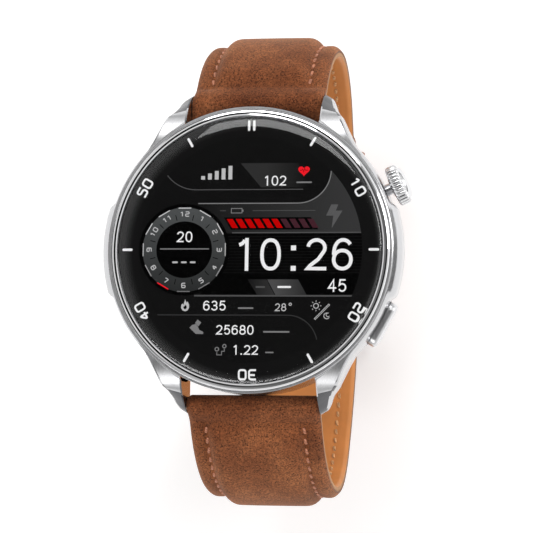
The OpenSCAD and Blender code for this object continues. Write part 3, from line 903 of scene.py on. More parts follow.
def bulge(degrees):
    """How far the side guards stand out at an angle, 0 to 1."""
    away = min(abs((degrees + 180) % 360 - 180), abs(degrees % 360 - 180))
    return 1 - ease((away - 16.5) / 3.0)


def make_case_body(materials):
    """The case wall turned round its profile, with a guard standing out at either side."""
    top = node_box("case_frame")[1][2]
    outer = [(21.4, 1.6), (21.9, 1.62), (22.5, 1.95), (23.1, 2.7), (23.6, 3.7), (23.95, 4.8), (24.1, 6.0),
             (24.1, 7.6), (24.08, 9.2), (24.02, 9.8), (23.9, 10.35), (23.72, 10.72), (23.55, 10.92),
             (23.42, top), (23.3, top), (23.14, top), (23.08, top - 0.06), (23.08, 10.38), (22.0, 10.38),
             (22.0, 9.8), (20.4, 9.8), (20.4, 2.42), (21.0, 2.42), (21.0, 1.65)]
    rings = []
    for i in range(288):
        degrees = 360 * i / 288
        b = bulge(degrees)
        a = radians(degrees)
        ring = []
        for r, z in outer:
            swell = 0.72 * b * ease((z - 2.6) / 1.6) * (1 - ease((z - 9.3) / 1.5)) if r > 23 else 0
            ring.append(((r + swell) * cos(a), (r + swell) * sin(a), z))
        rings.append(ring)
    points, faces = loft(rings, closed_path=True)
    return add_mesh("case_body", points, faces, materials)


def lug_outer(y):
    """x of a lug's outer side at y."""
    stations = [(15.0, 18.45), (16.6, 17.25), (18.2, 16.35), (19.8, 15.55), (21.6, 14.7), (23.4, 13.95),
                (25.0, 13.3), (26.0, 12.7), (26.5, 12.0)]
    for (y0, x0), (y1, x1) in zip(stations, stations[1:]):
        if y <= y1:
            t = (y - y0) / (y1 - y0)
            return x0 + (x1 - x0) * t
    return stations[-1][1]


def lug_top(y):
    """Height of a lug's top at y."""
    if y < 18:
        return 10.8
    return 2.3 + sqrt(max(0.0, 8.5 ** 2 - (y - 18) ** 2))


def make_lug(sx, sy):
    """A lug as sections along y: brushed top, polished chamfer down the outer edge, faceted tip."""
    rings = []
    stops = [15.4 + 9.2 * i / 22 for i in range(23)] + [24.9, 25.2]
    for y in stops:
        inner = max(LUG_IN, sqrt(max(0.0, 23.3 ** 2 - y * y)))
        top, out = lug_top(y), lug_outer(y)
        low = 2.2 + 0.25 * ease((y - 23.5) / 2)
        chamfer = 0.42 * ease((y - 14) / 4)
        ring = [(inner + 0.22, top), (out - chamfer, top), (out - chamfer * 0.5, top - chamfer * 0.32),
                (out, top - chamfer * 1.0 - 0.1), (out + 0.06, (top + low) / 2), (out - 0.5, low + 0.35),
                (out - 1.0, low), (inner + 0.3, low), (inner, low + 0.3), (inner, top - 0.22)]
        rings.append([(sx * x, sy * slanted(x, y), z) for x, z in ring])
    tip_y = [25.75, 26.2, 26.42, 26.42]
    tops = [6.1, 5.15, 4.4, 3.9]
    lows = [2.75, 3.05, 3.4, 3.7]
    outs = [12.95, 12.65, 12.35, 12.2]
    for y, top, low, out in zip(tip_y, tops, lows, outs):
        ring = [(inner + 0.22, top), (out - 0.4, top), (out - 0.2, top - 0.12), (out, top - 0.35),
                (out + 0.03, (top + low) / 2), (out - 0.25, low + 0.15), (out - 0.5, low),
                (inner + 0.3, low), (inner, low + 0.15), (inner, top - 0.2)]
        rings.append([(sx * x, sy * slanted(x, y), z) for x, z in ring])
    return loft(rings)


def slanted(x, y):
    """y moved back towards the lug's outer side, which slants its tip."""
    return y - 0.6 * (x - LUG_IN) * ease((y - 21.5) / 4.0)


def cylinder_cutter(place, axis, r, length, sides=48):
    axis = Vector(axis).normalized()
    side = axis.orthogonal().normalized()
    other = axis.cross(side)
    rings = []
    for t in (-0.5, 0.5):
        centre = Vector(place) + axis * length * t
        rings.append([tuple(centre + side * r * cos(a) + other * r * sin(a))
                      for a in [turn(k, sides) for k in range(sides)]])
    points, faces = loft(rings)
    return add_mesh("cutter", points, faces, [])


def notch_cutter(sy):
    """The space between two lugs, beyond the trimmed wall."""
    reach = 29.0
    spread = math.degrees(math.asin(LUG_IN / TRIM_R))
    inner = arc_points(0, 0, TRIM_R, 90 - spread, 90 + spread, 40)
    outline = inner + [(-LUG_IN, reach), (LUG_IN, reach)]
    rings = [[(x, sy * y, z) for x, y in outline] for z in (-1, 13)]
    points, faces = loft(rings)
    return add_mesh("cutter", points, faces, [])


def pill_ring(out, r):
    """The button's flat pill outline, at a distance out from the case's middle."""
    side, up = axis_frame(BUTTON_AXIS)
    flat = 2.5
    ring = []
    for k in range(64):
        a = turn(k, 64)
        shift = flat if cos(a) >= 0 else -flat
        place = BUTTON_AXIS * out + side * (shift + r * cos(a)) + up * r * sin(a)
        ring.append(tuple(place + Vector((0, 0, SIDE_Z))))
    return ring


def button_pocket():
    """The pocket in the case side that the button sinks into."""
    points, faces = loft([pill_ring(23.1, 1.55), pill_ring(29.0, 1.55)])
    return add_mesh("cutter", points, faces, [])


def case_materials():
    return [brushed("brushed_top", (0.60, 0.60, 0.61), 0.34),
            polished("polished_side", (0.56, 0.56, 0.57), 0.16),
            # steel painted nearly black for the tips' facets: a painted dark reflection
            polished("tip_facet_painted_dark", (0.11, 0.11, 0.115), 0.2)]


def finish_case(piece):
    """Brushed finish on what faces up, polish painted dark on the tips' facets for the dark reflection they
    show, bright polish elsewhere.
    """
    for face in piece.data.polygons:
        n, c = face.normal, face.center / MM
        lug = abs(c.y) > 16 and abs(c.x) > 11
        tip = lug and abs(c.y) + 0.6 * (abs(c.x) - LUG_IN) > 23.9
        # the tips' facets take the steel painted dark, a painted reflection
        if tip and n.z > 0.1 and abs(n.x) < 0.6:
            face.material_index = 2
        elif n.z > 0.9 or (lug and n.z > 0.62 and abs(n.x) < 0.2):
            face.material_index = 0
        else:
            face.material_index = 1


def build_case():
    materials = case_materials()
    body = make_case_body(materials)
    for sy in (-1, 1):
        cut(body, notch_cutter(sy))
    crown_place = CROWN_AXIS * 24.5 + Vector((0, 0, SIDE_Z))
    cut(body, cylinder_cutter(crown_place, CROWN_AXIS, 1.95, 11))
    button_place = BUTTON_AXIS * 22 + Vector((0, 0, SIDE_Z))
    cut(body, cylinder_cutter(button_place, BUTTON_AXIS, 1.55, 7, 32))
    cut(body, button_pocket())
    for y in (-1.6, 0, 1.6):
        cut(body, cylinder_cutter((-23, y, 6), (1, 0, 0), 0.5, 8, 20))
    microphone = Vector((cos(radians(218)), sin(radians(218)), 0))
    cut(body, cylinder_cutter(microphone * 23 + Vector((0, 0, 6)), microphone, 0.5, 8, 20))
    finish_case(body)
    sharp(body, 28)
    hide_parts("case_frame")
    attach(body, "case")
    lugs = []
    for sx in (-1, 1):
        for sy in (-1, 1):
            lugs.append(make_lug(sx, sy))
    points, faces = merge(lugs)
    piece = add_mesh("case_lugs", points, faces, materials)
    finish_case(piece)
    sharp(piece, 24)
    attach(piece, "case")


# ------------------------------------------------------------------ crown and button


def axis_frame(axis):
    """Unit vectors along and across the case side at an axis that points out of it."""
    side = Vector((0, 0, 1)).cross(axis).normalized()
    up = axis.cross(side)
    return side, up


def build_crown():
    side, up = axis_frame(CROWN_AXIS)

    def spot(out, r, a):
        place = CROWN_AXIS * out + side * r * cos(a) + up * r * sin(a)
        return tuple(place + Vector((0, 0, SIDE_Z)))

    ridges, per = 30, 10
    profile = [(0.0, 25.4), (2.6, 25.4), (3.1, 25.45), (3.32, 25.62), (3.4, 25.8), (3.4, 26.9),
               (3.34, 27.12), (3.2, 27.3), (3.0, 27.42), (2.86, 27.44), (2.8, 27.38), (2.72, 27.38),
               (2.62, 27.62), (2.4, 27.88), (2.0, 28.04), (1.4, 28.14), (0.7, 28.19), (0.0, 28.2)]
    rings = []
    for r, out in [(r, out - 0.35) for r, out in profile]:
        ring = []
        for k in range(ridges * per):
            a = turn(k, ridges * per)
            phase = (k % per) / per
            ridge = 1 - abs(2 * phase - 1) ** 3
            depth = 0.2 if r > 3.05 else 0.0
            rr = max(r - depth * (1 - ridge), 0.002)
            ring.append(spot(out, rr, a))
        rings.append(ring)
    cap = loft(rings)
    neck = []
    for r, out in ((1.45, 24.85), (1.6, 24.95), (1.6, 25.45)):
        neck.append([spot(out, r, turn(k, 48)) for k in range(48)])
    points, faces = merge([cap, loft(neck)])
    piece = add_mesh("crown_knob", points, faces, [polished("crown_steel", (0.74, 0.74, 0.75), 0.14)])
    sharp(piece, 40)
    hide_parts("crown_cap")
    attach(piece, "crown")


def build_button():
    profile = [(23.6, 0.1), (23.7, 0.0), (24.55, 0.0), (24.85, 0.03), (25.03, 0.12), (25.14, 0.28),
               (25.2, 0.5), (25.2, 0.9), (25.2, 1.3)]
    points, faces = loft([pill_ring(out, 1.4 - shrink) for out, shrink in profile])
    piece = add_mesh("button_key", points, faces, [brushed("button_steel", (0.70, 0.70, 0.71), 0.34)])
    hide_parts("button_cap")
    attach(piece, "button")


# ------------------------------------------------------------------ strap assembly


def build_strap():
    face, edge = nubuck("nubuck_brown"), cut_edge("raw_edge", (0.23, 0.10, 0.05))
    lining, lining_edge = smooth_leather("lining_tan"), cut_edge("lining_edge", (0.50, 0.26, 0.12))
    thread = waxed_thread("thread_copper", (0.60, 0.24, 0.13))
    inner_thread = waxed_thread("thread_pale", (0.78, 0.42, 0.18))
    felt = plain("felt", (0.42, 0.34, 0.26), 0.95, grain=2500, depth=0.0001)
    upper = Half(1, UPPER_R, BUCKLE_AT, THIN_AT, 0)
    lower = Half(-1, LOWER_R, -180 - TAIL_END, -180 - PAD_END, 0.09)
    for half, word, pad_end, thread_end in ((upper, "upper", 0.70, 0.66), (lower, "lower", 0.58, 0.57)):
        body = word + "_strap"
        total = half.length[-1]
        leather = make_leather(half, word + "_outer", edge, face)
        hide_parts(word + "_leather")
        inside = make_lining(half, word + "_inner", lining_edge, lining)
        for layer in (leather, inside):
            cut(layer, tail_hole_cutter() if half.side < 0 else tongue_slot_cutter())
        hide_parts(word + "_lining")
        pad = make_padding(half, word + "_pad", pad_end, felt)
        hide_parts(word + "_padding")
        top = make_stitches(half, word + "_stitches", 3.3, total * thread_end, True, thread)
        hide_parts(word + "_thread")
        below = make_stitches(half, word + "_lining_stitches", 3.3, total * thread_end, False, inner_thread)
        for piece in (leather, inside, pad, top, below):
            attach(piece, body)
    keepers = (("fixed_keeper", "fixed_loop", "upper_strap"), ("free_keeper", "free_loop", "loose_keeper"))
    for node, name, body in keepers:
        piece = make_keeper(node, name, face)
        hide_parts(node)
        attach(piece, body)


def build_buckle():
    steel = brushed("buckle_satin", (0.66, 0.66, 0.67), 0.24, (900, 9000, 9000))
    bow = make_buckle(steel)
    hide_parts("buckle_frame")
    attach(bow, "buckle")
    pin = make_tongue(polished("pin_steel", (0.74, 0.74, 0.75), 0.12))
    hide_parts("buckle_tongue")
    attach(pin, "tongue")


# ------------------------------------------------------------------ CAD nodes that keep their shape


def dress_nodes():
    """Materials for the parts that keep their CAD shape."""
    looks = {
        "bezel_ring": polished("bezel_polish", (0.80, 0.80, 0.81), 0.05),
        "display_panel": plain("panel_black", (0.004, 0.004, 0.005), 0.35),
        "sensor_lens": clear_glass("sensor_dark", (0.12, 0.12, 0.13), 0.02),
        "back_cover": plain("back_black", (0.03, 0.03, 0.033), 0.42, grain=2600, depth=0.00003),
        "charging_contacts": polished("contact_gold", (0.86, 0.60, 0.24), 0.18),
        "charging_magnets": brushed("magnet_nickel", (0.6, 0.6, 0.6), 0.3),
    }
    green = plain("board_green", (0.012, 0.11, 0.045), 0.35, grain=1500)
    black = plain("moulded_black", (0.02, 0.02, 0.022), 0.5, grain=2200)
    rubber = plain("seal_rubber", (0.015, 0.015, 0.015), 0.75)
    steel = brushed("inner_steel", (0.58, 0.58, 0.6), 0.3)
    amber = plain("flex_amber", (0.45, 0.17, 0.02), 0.35)
    shared = {
        green: ["main_board", "sensor_board"],
        black: ["inner_frame", "speaker", "crown_switch", "button_switch", "crown_plunger", "board_chips",
                "microphone"],
        rubber: ["crown_seals", "button_seals", "back_gasket", "glass_adhesive", "light_shroud"],
        steel: ["shield_can", "display_shield", "battery", "vibration_motor", "speaker_mesh", "crown_bush",
                "button_bush", "crown_stem", "button_pin", "crown_clip", "button_clip", "back_screws",
                "upper_spring_bar", "lower_spring_bar", "upper_bar_spring", "lower_bar_spring",
                "upper_release_pin", "lower_release_pin", "buckle_bar"],
        amber: ["display_flex", "antenna"],
        lit("led_clear", (0.05, 0.16, 0.05)): ["sensor_leds"],
    }
    for material, names in shared.items():
        for name in names:
            looks[name] = material
    for name, material in looks.items():
        node = frame["nodes"][name]
        node.data.materials.clear()
        node.data.materials.append(material)


# ------------------------------------------------------------------ dial


def flat_piece(name, outlines, z, material):
    """Flat shapes at height z. Each outline is a list of (x, y) points."""
    points, faces = [], []
    for outline in outlines:
        start = len(points)
        points += [(x * DIAL_SCALE, y * DIAL_SCALE, z) for x, y in outline]
        faces.append(tuple(range(start, len(points))))
    piece = add_mesh(name, points, faces, [material], smooth=False)
    for face in piece.data.polygons:
        if face.normal.z < 0:
            face.flip()
    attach(piece, "case")
    return piece


def spoke(cx, cy, r, degrees):
    """The point at a distance and angle from a middle."""
    a = radians(degrees)
    return cx + r * cos(a), cy + r * sin(a)


def arc_points(cx, cy, r, a0, a1, steps):
    return [spoke(cx, cy, r, a0 + (a1 - a0) * i / steps) for i in range(steps + 1)]


def ring_strip(cx, cy, r_in, r_out, a0=0.0, a1=360.0, steps=96):
    """Quads of a flat ring or arc."""
    inner = arc_points(cx, cy, r_in, a0, a1, steps)
    outer = arc_points(cx, cy, r_out, a0, a1, steps)
    return [[inner[i], inner[i + 1], outer[i + 1], outer[i]] for i in range(steps)]


def bar_shape(cx, cy, long, wide, degrees):
    """A bar with round ends."""
    r = wide / 2
    shape = arc_points(long / 2 - r, 0, r, -90, 90, 8) + arc_points(-long / 2 + r, 0, r, 90, 270, 8)
    return turned(shape, cx, cy, degrees)


def turned(shape, cx, cy, degrees, scale=1.0):
    c, s = cos(radians(degrees)) * scale, sin(radians(degrees)) * scale
    return [(cx + x * c - y * s, cy + x * s + y * c) for x, y in shape]


def box_shape(x0, x1, y0, y1):
    return [(x0, y0), (x1, y0), (x1, y1), (x0, y1)]


GLYPHS = {
    "0": [[(0, 0), (1, 0), (1, 1.25), (0, 1.25), (0, 0)]],
    "1": [[(0.1, 0.95), (0.55, 1.25), (0.55, 0)]],
    "2": [[(0, 1.25), (1, 1.25), (1, 0.66), (0, 0.66), (0, 0), (1, 0)]],
    "3": [[(0, 1.25), (1, 1.25), (1, 0), (0, 0)], [(0.15, 0.66), (1, 0.66)]],
    "4": [[(0.75, 0), (0.75, 1.25), (0, 0.42), (1.05, 0.42)]],
    "5": [[(1, 1.25), (0, 1.25), (0, 0.70), (1, 0.70), (1, 0), (0, 0)]],
    "6": [[(1, 1.25), (0, 1.25), (0, 0), (1, 0), (1, 0.66), (0, 0.66)]],
    "7": [[(0, 1.25), (1, 1.25), (0.4, 0)]],
    "8": [[(0, 0), (1, 0), (1, 1.25), (0, 1.25), (0, 0)], [(0, 0.66), (1, 0.66)]],
    "9": [[(0, 0), (1, 0), (1, 1.25), (0, 1.25), (0, 0.60), (1, 0.60)]],
}


def rounded_line(points, radius, closed):
    """The line with its corners rounded by small arcs."""
    out = []
    count = len(points)
    for i, p in enumerate(points):
        if not closed and i in (0, count - 1):
            out.append(p)
            continue
        a = points[i - 1] if i else points[-2]
        b = points[i + 1] if i < count - 1 else points[1]
        if closed and i == count - 1:
            break
        da, db = math.dist(p, a), math.dist(p, b)
        cut_a, cut_b = min(radius, da / 2.2), min(radius, db / 2.2)
        first = tuple(p[k] + (a[k] - p[k]) * cut_a / da for k in (0, 1))
        last = tuple(p[k] + (b[k] - p[k]) * cut_b / db for k in (0, 1))
        for j in range(5):
            t = j / 4
            out.append(tuple(first[k] * (1 - t) ** 2 + 2 * p[k] * t * (1 - t) + last[k] * t * t
                             for k in (0, 1)))
    if closed:
        out.append(out[0])
    return out


def stroke(points, width, closed=False):
    """Quads along a line of the given width, with mitred corners."""
    left, right = [], []
    count = len(points)
    for i in range(count):
        if closed:
            a = points[i - 1] if i else points[-2]
            b = points[i + 1] if i < count - 1 else points[1]
        else:
            a, b = points[max(0, i - 1)], points[min(count - 1, i + 1)]
        before, after = unit(a, points[i]), unit(points[i], b)
        if before == (0, 0):
            before = after
        if after == (0, 0):
            after = before
        tx, ty = unit((0, 0), (before[0] + after[0], before[1] + after[1]))
        spread = max(0.45, tx * after[0] + ty * after[1])
        nx, ny = -ty * width / 2 / spread, tx * width / 2 / spread
        left.append((points[i][0] + nx, points[i][1] + ny))
        right.append((points[i][0] - nx, points[i][1] - ny))
    return [[left[i], right[i], right[i + 1], left[i + 1]] for i in range(count - 1)]


def unit(a, b):
    """The direction from a to b, or (0, 0) where they meet."""
    dx, dy = b[0] - a[0], b[1] - a[1]
    size = hypot(dx, dy)
    return (dx / size, dy / size) if size > 1e-9 else (0, 0)


def square_number(text, cx, cy, height, degrees):
    """A number in squared strokes with rounded corners, centred at cx, cy."""
    size = height / 1.5
    pitch = 1.48
    width = pitch * (len(text) - 1) + 1
    quads = []
    for i, letter in enumerate(text):
        for line in GLYPHS[letter]:
            closed = line[0] == line[-1]
            soft = rounded_line(line, 0.34, closed)
            for quad in stroke(soft, 0.27, closed):
                moved = [((x + pitch * i - width / 2) * size, (y - 0.625) * size) for x, y in quad]
                quads.append(turned(moved, cx, cy, degrees))
    return quads


def oval(cx, cy, rx, ry, a0, a1, steps=20, power=0.86):
    """Part of a slightly squared oval."""
    out = []
    for i in range(steps + 1):
        a = radians(a0 + (a1 - a0) * i / steps)
        c, s = cos(a), sin(a)
        x, y = math.copysign(abs(c) ** power, c), math.copysign(abs(s) ** power, s)
        out.append((cx + rx * x, cy + ry * y))
    return out


def digit_lines(letter):
    """Centre lines of a plain digit in a box one high about its middle, and whether each is closed."""
    w, h = 0.265, 0.435
    shapes = {
        "0": [(oval(0, 0, w, h, 0, 360, 36), True)],
        "1": [([(0.06, -0.5), (0.06, 0.5)], False),
              (oval(-0.22, 0.52, 0.23, 0.23, -80, -20, 8, 1), False)],
        "2": [(oval(0, 0.2, w - 0.005, 0.235, 172, -28, 18, 1)
               + [(0.06, -0.15), (-0.18, -0.33), (-0.27, -0.43), (0.31, -0.435)], False)],
        "3": [(oval(-0.01, 0.215, 0.235, 0.22, 160, -82, 18, 1), False),
              (oval(-0.01, -0.2, w, 0.235, 86, -162, 20, 1), False),
              ([(-0.09, 0.01), (0.05, 0.01)], False)],
        "4": [([(0.12, -0.5), (0.12, 0.44), (-0.27, -0.19), (0.34, -0.19)], False)],
        "5": [([(0.26, 0.44), (-0.16, 0.44), (-0.22, 0.02)]
               + oval(0, -0.15, w, 0.285, 142, -155, 22, 1), False)],
        "6": [(oval(0, -0.16, w, 0.275, 0, 360, 30, 0.95), True),
              (oval(0.02, 0.0, w + 0.02, h, 42, 182, 18, 0.92), False)],
        "8": [(oval(0, 0.225, 0.215, 0.21, 0, 360, 28, 0.95), True),
              (oval(0, -0.2, w, 0.235, 0, 360, 30, 0.95), True)],
    }
    return shapes[letter]


def number_shapes(text, cx, cy, height, width=1.0, weight=0.125):
    """A plain number drawn in even strokes, centred at cx, cy."""
    steps = {":": 0.62, ".": 0.40}
    spans = [steps.get(letter, 0.80) for letter in text]
    at = -sum(spans) / 2
    quads = []
    for letter, span in zip(text, spans):
        middle = at + span / 2
        at += span
        shapes = []
        if letter in steps:
            for low in ((-0.5, 0.12) if letter == ":" else (-0.5,)):
                shapes.append(box_shape(-0.078, 0.078, low, low + 0.15))
        else:
            for line, closed in digit_lines(letter):
                shapes += stroke(line, weight, closed)
        for shape in shapes:
            quads.append([(cx + (x + middle) * height * width, cy + y * height) for x, y in shape])
    return quads


def disc_clip(outline):
    """The part of a convex outline that lies inside the display's edge."""
    keep = outline
    for k in range(96):
        a = turn(k, 96)
        nx, ny = cos(a), sin(a)
        out = []
        for i, p in enumerate(keep):
            q = keep[(i + 1) % len(keep)]
            dp, dq = p[0] * nx + p[1] * ny - DIAL_EDGE, q[0] * nx + q[1] * ny - DIAL_EDGE
            if dp <= 0:
                out.append(p)
            if (dp < 0) != (dq < 0):
                t = dp / (dp - dq)
                out.append((p[0] + (q[0] - p[0]) * t, p[1] + (q[1] - p[1]) * t))
        keep = out
        if len(keep) < 3:
            return []
    return keep


def minute_ring(z, white):
    """Bars and numbers round the border, one every five minutes."""
    marks = []
    ring_r = 20.6
    for minute in range(5, 60, 5):
        a = 90 - minute * 6
        x, y = spoke(0, 0, ring_r, a)
        if minute % 10:
            marks.append(bar_shape(x, y, 1.65, 0.42, a))
        else:
            marks += square_number(str(minute), x, y, 1.72, a - 90)
    for dx in (-0.43, 0.43):
        marks.append(bar_shape(dx, ring_r, 1.7, 0.40, 90))
    flat_piece("minute_marks", marks, z, white)


def hour_dial(draw):
    """The small round dial at the left, with its twelve numbers and rim bars."""
    cx, cy = -11.05, 0.0
    draw("hour_shadow", [arc_points(cx, cy, 7.65, 0, 355, 71)], 1, "deep")
    draw("hour_ring", ring_strip(cx, cy, 4.72, 7.05), 2, "ring")
    dark_ticks, bars, numbers = [], [], []
    for hour in range(1, 13):
        a = 90 - hour * 30
        dark_ticks.append(bar_shape(*spoke(cx, cy, 5.5, a + 15), 0.95, 0.13, a + 15))
        if hour == 7:
            draw("hour_red", [bar_shape(*spoke(cx, cy, 6.98, a), 2.2, 0.2, a + 90)], 4, "red")
        else:
            bars.append(bar_shape(*spoke(cx, cy, 6.95, a), 2.2, 0.16, a + 90))
        lean = a + 90 if 3 < hour < 9 else a - 90
        numbers += square_number(str(hour), *spoke(cx, cy, 5.95, a), 0.88, lean)
    draw("hour_ticks", dark_ticks, 3, "deep")
    draw("hour_bars", bars, 4, "rim")
    draw("hour_numbers", numbers, 3, "pale")
    draw("hour_line", [box_shape(cx - 4.1, cx + 4.2, 0.04, 0.22)], 3, "mid")
    days = [bar_shape(cx - 1.5 + 1.5 * i, cy - 2.1, 0.95, 0.3, 0) for i in range(3)]
    draw("day_marks", days, 3, "pale")
    draw("date_number", number_shapes("20", cx + 0.05, cy + 2.15, 1.8), 3, "white")


def upper_panels(draw):
    """The pill at the top with the pulse, and the charge gauge under it."""
    panels = []
    steps = 90
    for i in range(steps):
        x0, x1 = -8.5 + 27.3 * i / steps, -8.5 + 27.3 * (i + 1) / steps
        top0, top1 = pill_edge(x0), pill_edge(x1)
        strip = disc_clip([(x0, 2.8), (x1, 2.8), (x1, top1), (x0, top0)])
        if strip:
            panels.append(strip)
    draw("gauge_panel", panels, 1 / 3, "panel_fade")
    line = [(-8.8 + 0.7 * i, 7.7) for i in range(24)] + arc_points(7.95, 13.2, 5.5, -90, -2, 16)
    draw("pill_line", stroke(line, 0.16), 1, "mid")
    curve = arc_points(-9.2, 16.2, 6.2, 202, 270, 14) + [(-9.2 + 1.0 * i, 10.0) for i in range(1, 19)]
    draw("pill_inner_line", stroke(curve, 0.14), 1, "dim")
    draw("pulse_panel", [[(1.75, 10.35), (9.6, 10.35), (7.9, 14.4), (-1.75, 14.4)]], 1, "pulse_fade")
    draw("pulse_number", number_shapes("102", 4.05, 11.45, 1.66, 1.02), 2, "white")
    heart = [(0.95 * sin(t) ** 3 * 1.02, 0.058 * (13 * cos(t) - 5 * cos(2 * t)
              - 2 * cos(3 * t) - cos(4 * t))) for t in [turn(i, 48) for i in range(48)]]
    draw("heart", [turned(heart, 8.9, 13.1, 0)], 2, "red")
    beat = [(-0.7, 0), (-0.35, 0), (-0.2, 0.2), (-0.05, -0.3), (0.12, 0.35), (0.25, 0), (0.7, 0)]
    draw("beat", stroke([(8.9 + x, 13.15 + y) for x, y in beat], 0.08), 3, "deep")
    draw("pulse_bar", [bar_shape(8.95, 11.15, 2.6, 0.26, 0)], 2, "mid")
    signal = [box_shape(-8.4 + 1.15 * i, -7.75 + 1.15 * i, 11.7, 12.3 + 0.42 * i) for i in range(5)]
    draw("signal_bars", signal, 2, "pale")
    draw("gauge_back", [[(-4.4, 5.36), (10.15, 5.36), (11.45, 3.32), (-3.2, 3.32)]], 1, "deep")
    full, empty = [], []
    for i in range(10):
        x = -3.95 + 1.5 * i
        bar = [(x + 0.95, 3.6), (x + 1.95, 3.6), (x + 1.0, 5.1), (x, 5.1)]
        (full if i < 6 else empty).append(bar)
    draw("gauge_full", full, 2, "red_deep")
    draw("gauge_empty", empty, 2, "maroon")
    cell = stroke([(-3.2, 6.1), (-1.4, 6.1), (-1.4, 6.85), (-3.2, 6.85), (-3.2, 6.1)], 0.12, True)
    draw("cell_icon", cell + [box_shape(-1.34, -1.15, 6.3, 6.65)], 1, "mid")
    draw("gauge_lines", [box_shape(-5.1, -4.1, 6.42, 6.52), box_shape(0.4, 10.9, 6.42, 6.52)], 1, "dim")
    bolt = [(13.55, 7.45), (14.7, 7.45), (14.3, 6.42), (15.4, 6.42), (13.65, 3.5), (13.9, 5.6), (12.7, 5.6)]
    draw("bolt", [bolt], 1, "bolt")


def pill_edge(x):
    """Lower edge of the pill at x, above which the gauge panel stops."""
    if x < 7.95:
        return 7.7
    if x > 13.44:
        return 18.0
    return 13.2 - sqrt(5.5 ** 2 - (x - 7.95) ** 2)


def time_band(draw):
    """The black band with the time and seconds."""
    band = disc_clip(box_shape(-8, 19, -7.5, 2.72))
    draw("time_band", [band], 7 / 12, "deep")
    lines = [disc_clip(box_shape(-6, 19, y, y + 0.12))
             for y in [-3.9 + 0.5 * i for i in range(14)]]
    draw("scan_lines", lines, 3 / 4, "scan")
    draw("time_number", number_shapes("10:26", 7.35, -0.80, 5.45, 0.99, 0.11), 2, "white")
    draw("second_number", number_shapes("45", 14.7, -5.95, 2.1), 2, "white")
    draw("band_top", [disc_clip(box_shape(-3, 19, 2.72, 2.9))], 1, "dim")
    draw("band_low", [disc_clip(box_shape(-9.2, 19, -7.78, -7.52))], 1, "dim")
    draw("half_left", [[(1.4, -7.5), (4.3, -7.5), (2.9, -4.95), (-0.25, -4.95)]], 1, "half_fade")
    draw("half_right", [[(4.45, -7.5), (9.65, -7.5), (8.2, -4.95), (3.05, -4.95)]], 1, "whole_fade")
    draw("half_mark", [bar_shape(5.9, -6.2, 2.3, 0.34, 0)], 2, "white")
    draw("half_mark_dim", [bar_shape(1.9, -6.2, 1.6, 0.3, 0)], 2, "dim")


def lower_rows(draw):
    """Energy, warmth, steps and way rows with their small pictures."""
    draw("energy_number", number_shapes("635", -5.75, -9.3, 1.65, 1.02), 2, "white")
    draw("warmth_number", number_shapes("28", 5.35, -9.55, 1.3), 2, "pale")
    draw("step_number", number_shapes("25680", -2.25, -13.3, 1.6, 1.02), 2, "white")
    draw("way_number", number_shapes("1.22", -0.45, -16.6, 1.6, 1.02), 2, "white")
    draw("warmth_ring", ring_strip(6.95, -9.05, 0.13, 0.26, steps=20), 2, "pale")
    units = ((-0.5, -9.7, 2.6, 0.26), (4.7, -13.6, 4.4, 0.26), (3.6, -17.0, 1.4, 0.22))
    bars = [bar_shape(x, y, long, wide, 0) for x, y, long, wide in units]
    draw("unit_bars", bars, 2, "mid")
    flame = [(0, 1.0), (0.22, 0.45), (0.42, 0.62), (0.66, 0.1), (0.68, -0.4), (0.42, -0.85), (0, -1.0),
             (-0.42, -0.85), (-0.68, -0.4), (-0.62, 0.1), (-0.4, 0.3), (-0.28, 0.05)]
    draw("flame", [turned(flame, -10.7, -9.25, 0)], 2, "pale")
    draw("flame_core", [turned(flame, -10.7, -9.5, 0, 0.42)], 3, "deep")
    sun = ring_strip(11.25, -9.3, 0.34, 0.47, steps=24)
    for i in range(8):
        sun.append(bar_shape(*spoke(11.25, -9.3, 0.78, 45 * i), 0.24, 0.12, 45 * i))
    slash = stroke([(11.0, -11.4), (11.15, -11.55), (13.5, -9.15), (13.35, -9.0), (11.0, -11.4)], 0.1, True)
    moon = ring_strip(13.05, -10.95, 0.42, 0.54, 60, 330, 20)
    moon += ring_strip(13.25, -10.78, 0.26, 0.36, 70, 320, 16)
    draw("sky_icons", sun + slash + moon, 2, "pale")
    line = [(-15.4 + 1.0 * i, -10.85) for i in range(22)] + arc_points(6.5, -15.9, 5.05, 88, 12, 16)
    draw("row_line", stroke(line, 0.17), 1, "soft")
    shoe = [(-1.2, -0.1), (-0.1, -1.15), (1.15, -1.15), (1.15, -0.8), (0.5, -0.5), (0.2, 0.1), (-0.1, 0.5),
            (-0.7, 0.35)]
    ankle = [(-0.25, 0.65), (0.3, 0.1), (0.8, 0.75), (0.15, 1.25)]
    draw("shoe", [turned(shoe, -8.7, -12.85, 0), turned(ankle, -8.7, -12.85, 0)], 2, "mid")
    way = ring_strip(-5.2, -16.5, 0.22, 0.38, steps=20) + ring_strip(-3.95, -16.0, 0.2, 0.36, steps=20)
    bend = [(-5.2, -17.0), (-5.2, -17.45), (-4.4, -17.45), (-4.4, -16.85), (-3.95, -16.85), (-3.95, -16.4)]
    way += stroke(bend, 0.12)
    draw("way_icon", way, 2, "mid")


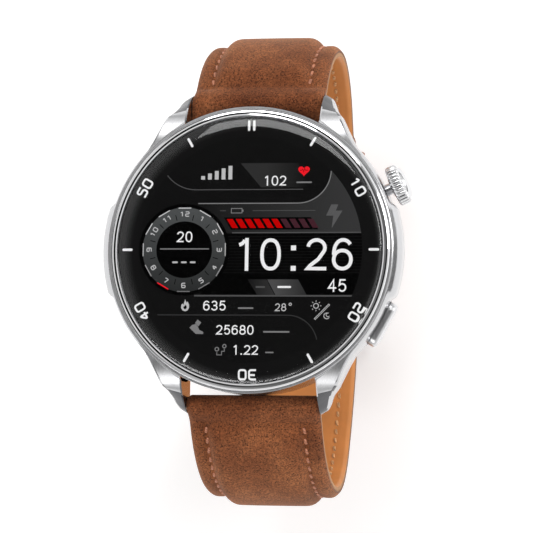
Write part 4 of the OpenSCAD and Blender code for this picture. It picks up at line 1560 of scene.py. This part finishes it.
def build_dial():
    """The display's picture, and the printed border under the glass, which glows like the display as
    painted light.
    """
    mask_z = GLASS_LOW + 0.02
    looks = {
        "white": lit("mark_white", (0.93, 0.93, 0.93)), "pale": lit("mark_pale", (0.55, 0.55, 0.55)),
        "mid": lit("mark_mid", (0.22, 0.22, 0.22)), "dim": lit("mark_dim", (0.085, 0.085, 0.085)),
        "bolt": lit("mark_bolt", (0.105, 0.105, 0.105)), "soft": lit("mark_soft", (0.035, 0.035, 0.035)),
        "scan": lit("scan_gray", (0.0065, 0.0065, 0.0065)),
        "deep": lit("dial_black", (0.0004, 0.0004, 0.0004)),
        "red": lit("mark_red", (0.93, 0.012, 0.022)), "red_deep": lit("gauge_red", (0.56, 0.0, 0.0)),
        "maroon": lit("gauge_maroon", (0.058, 0.016, 0.024)),
        "ring": faded("hour_gray", (0.085, 0.09, 0.09), -9.0, 9.0, 1),
        "rim": faded("hour_rim", (0.62, 0.62, 0.62), -8.5, 3.5, 1),
        "panel_fade": faded("panel_gray", (0.038, 0.038, 0.038), -9.0, 16.0),
        "pulse_fade": faded("pulse_gray", (0.028, 0.028, 0.028), 9.5, 2.5),
        "half_fade": faded("half_gray", (0.035, 0.035, 0.035), -0.5, 4.5),
        "whole_fade": faded("whole_gray", (0.075, 0.075, 0.075), 10.5, 4.0),
    }

    def draw(name, outlines, level, look):
        """A part of the display, on the given level above its ground."""
        flat_piece(name, outlines, PANEL_TOP + 0.01 + 0.012 * level, looks[look])

    ground = lit("dial_ground", (0.0052, 0.0052, 0.0052))
    # the black print under the glass glows faintly: painted light
    border = lit("glass_print_painted_glow", (0.0062, 0.0062, 0.0062))
    flat_piece("dial_disc", [arc_points(0, 0, 19.1, 0, 357.5, 143)], PANEL_TOP + 0.01, ground)
    flat_piece("glass_border", ring_strip(0, 0, 18.8, 22.1, steps=144), mask_z, border)
    # the printed minute marks glow with the display's white: painted light
    minute_ring(mask_z + 0.015, looks["white"])
    hour_dial(draw)
    upper_panels(draw)
    time_band(draw)
    lower_rows(draw)


# ------------------------------------------------------------------ cover glass


def build_glass():
    """The cover glass, flat in the middle and curving down to a ground edge."""
    half = []
    for i in range(13):
        t = i / 12
        r = 18.6 + 2.9 * t
        half.append((r, GLASS_TOP - 0.38 * t ** 2.3))
    half += [(21.7, GLASS_TOP - 0.50), (21.82, GLASS_TOP - 0.68), (21.87, GLASS_TOP - 0.9),
             (21.87, GLASS_LOW + 0.12), (21.8, GLASS_LOW + 0.06)]
    steps = 240
    rings = []
    for r, height in half:
        rings.append([(r * cos(turn(k, steps)), r * sin(turn(k, steps)), height) for k in range(steps)])
    points, faces = loft(rings)
    piece = add_mesh("glass_cover", points, faces, [clear_glass("cover_clear")])
    for face in piece.data.polygons:
        face.use_smooth = len(face.vertices) == 4
    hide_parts("cover_glass")
    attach(piece, "case")


# ------------------------------------------------------------------ build

make_camera()
make_light()
make_floor()
build_case()
build_crown()
build_button()
build_glass()
dress_nodes()
build_dial()
build_strap()
build_buckle()
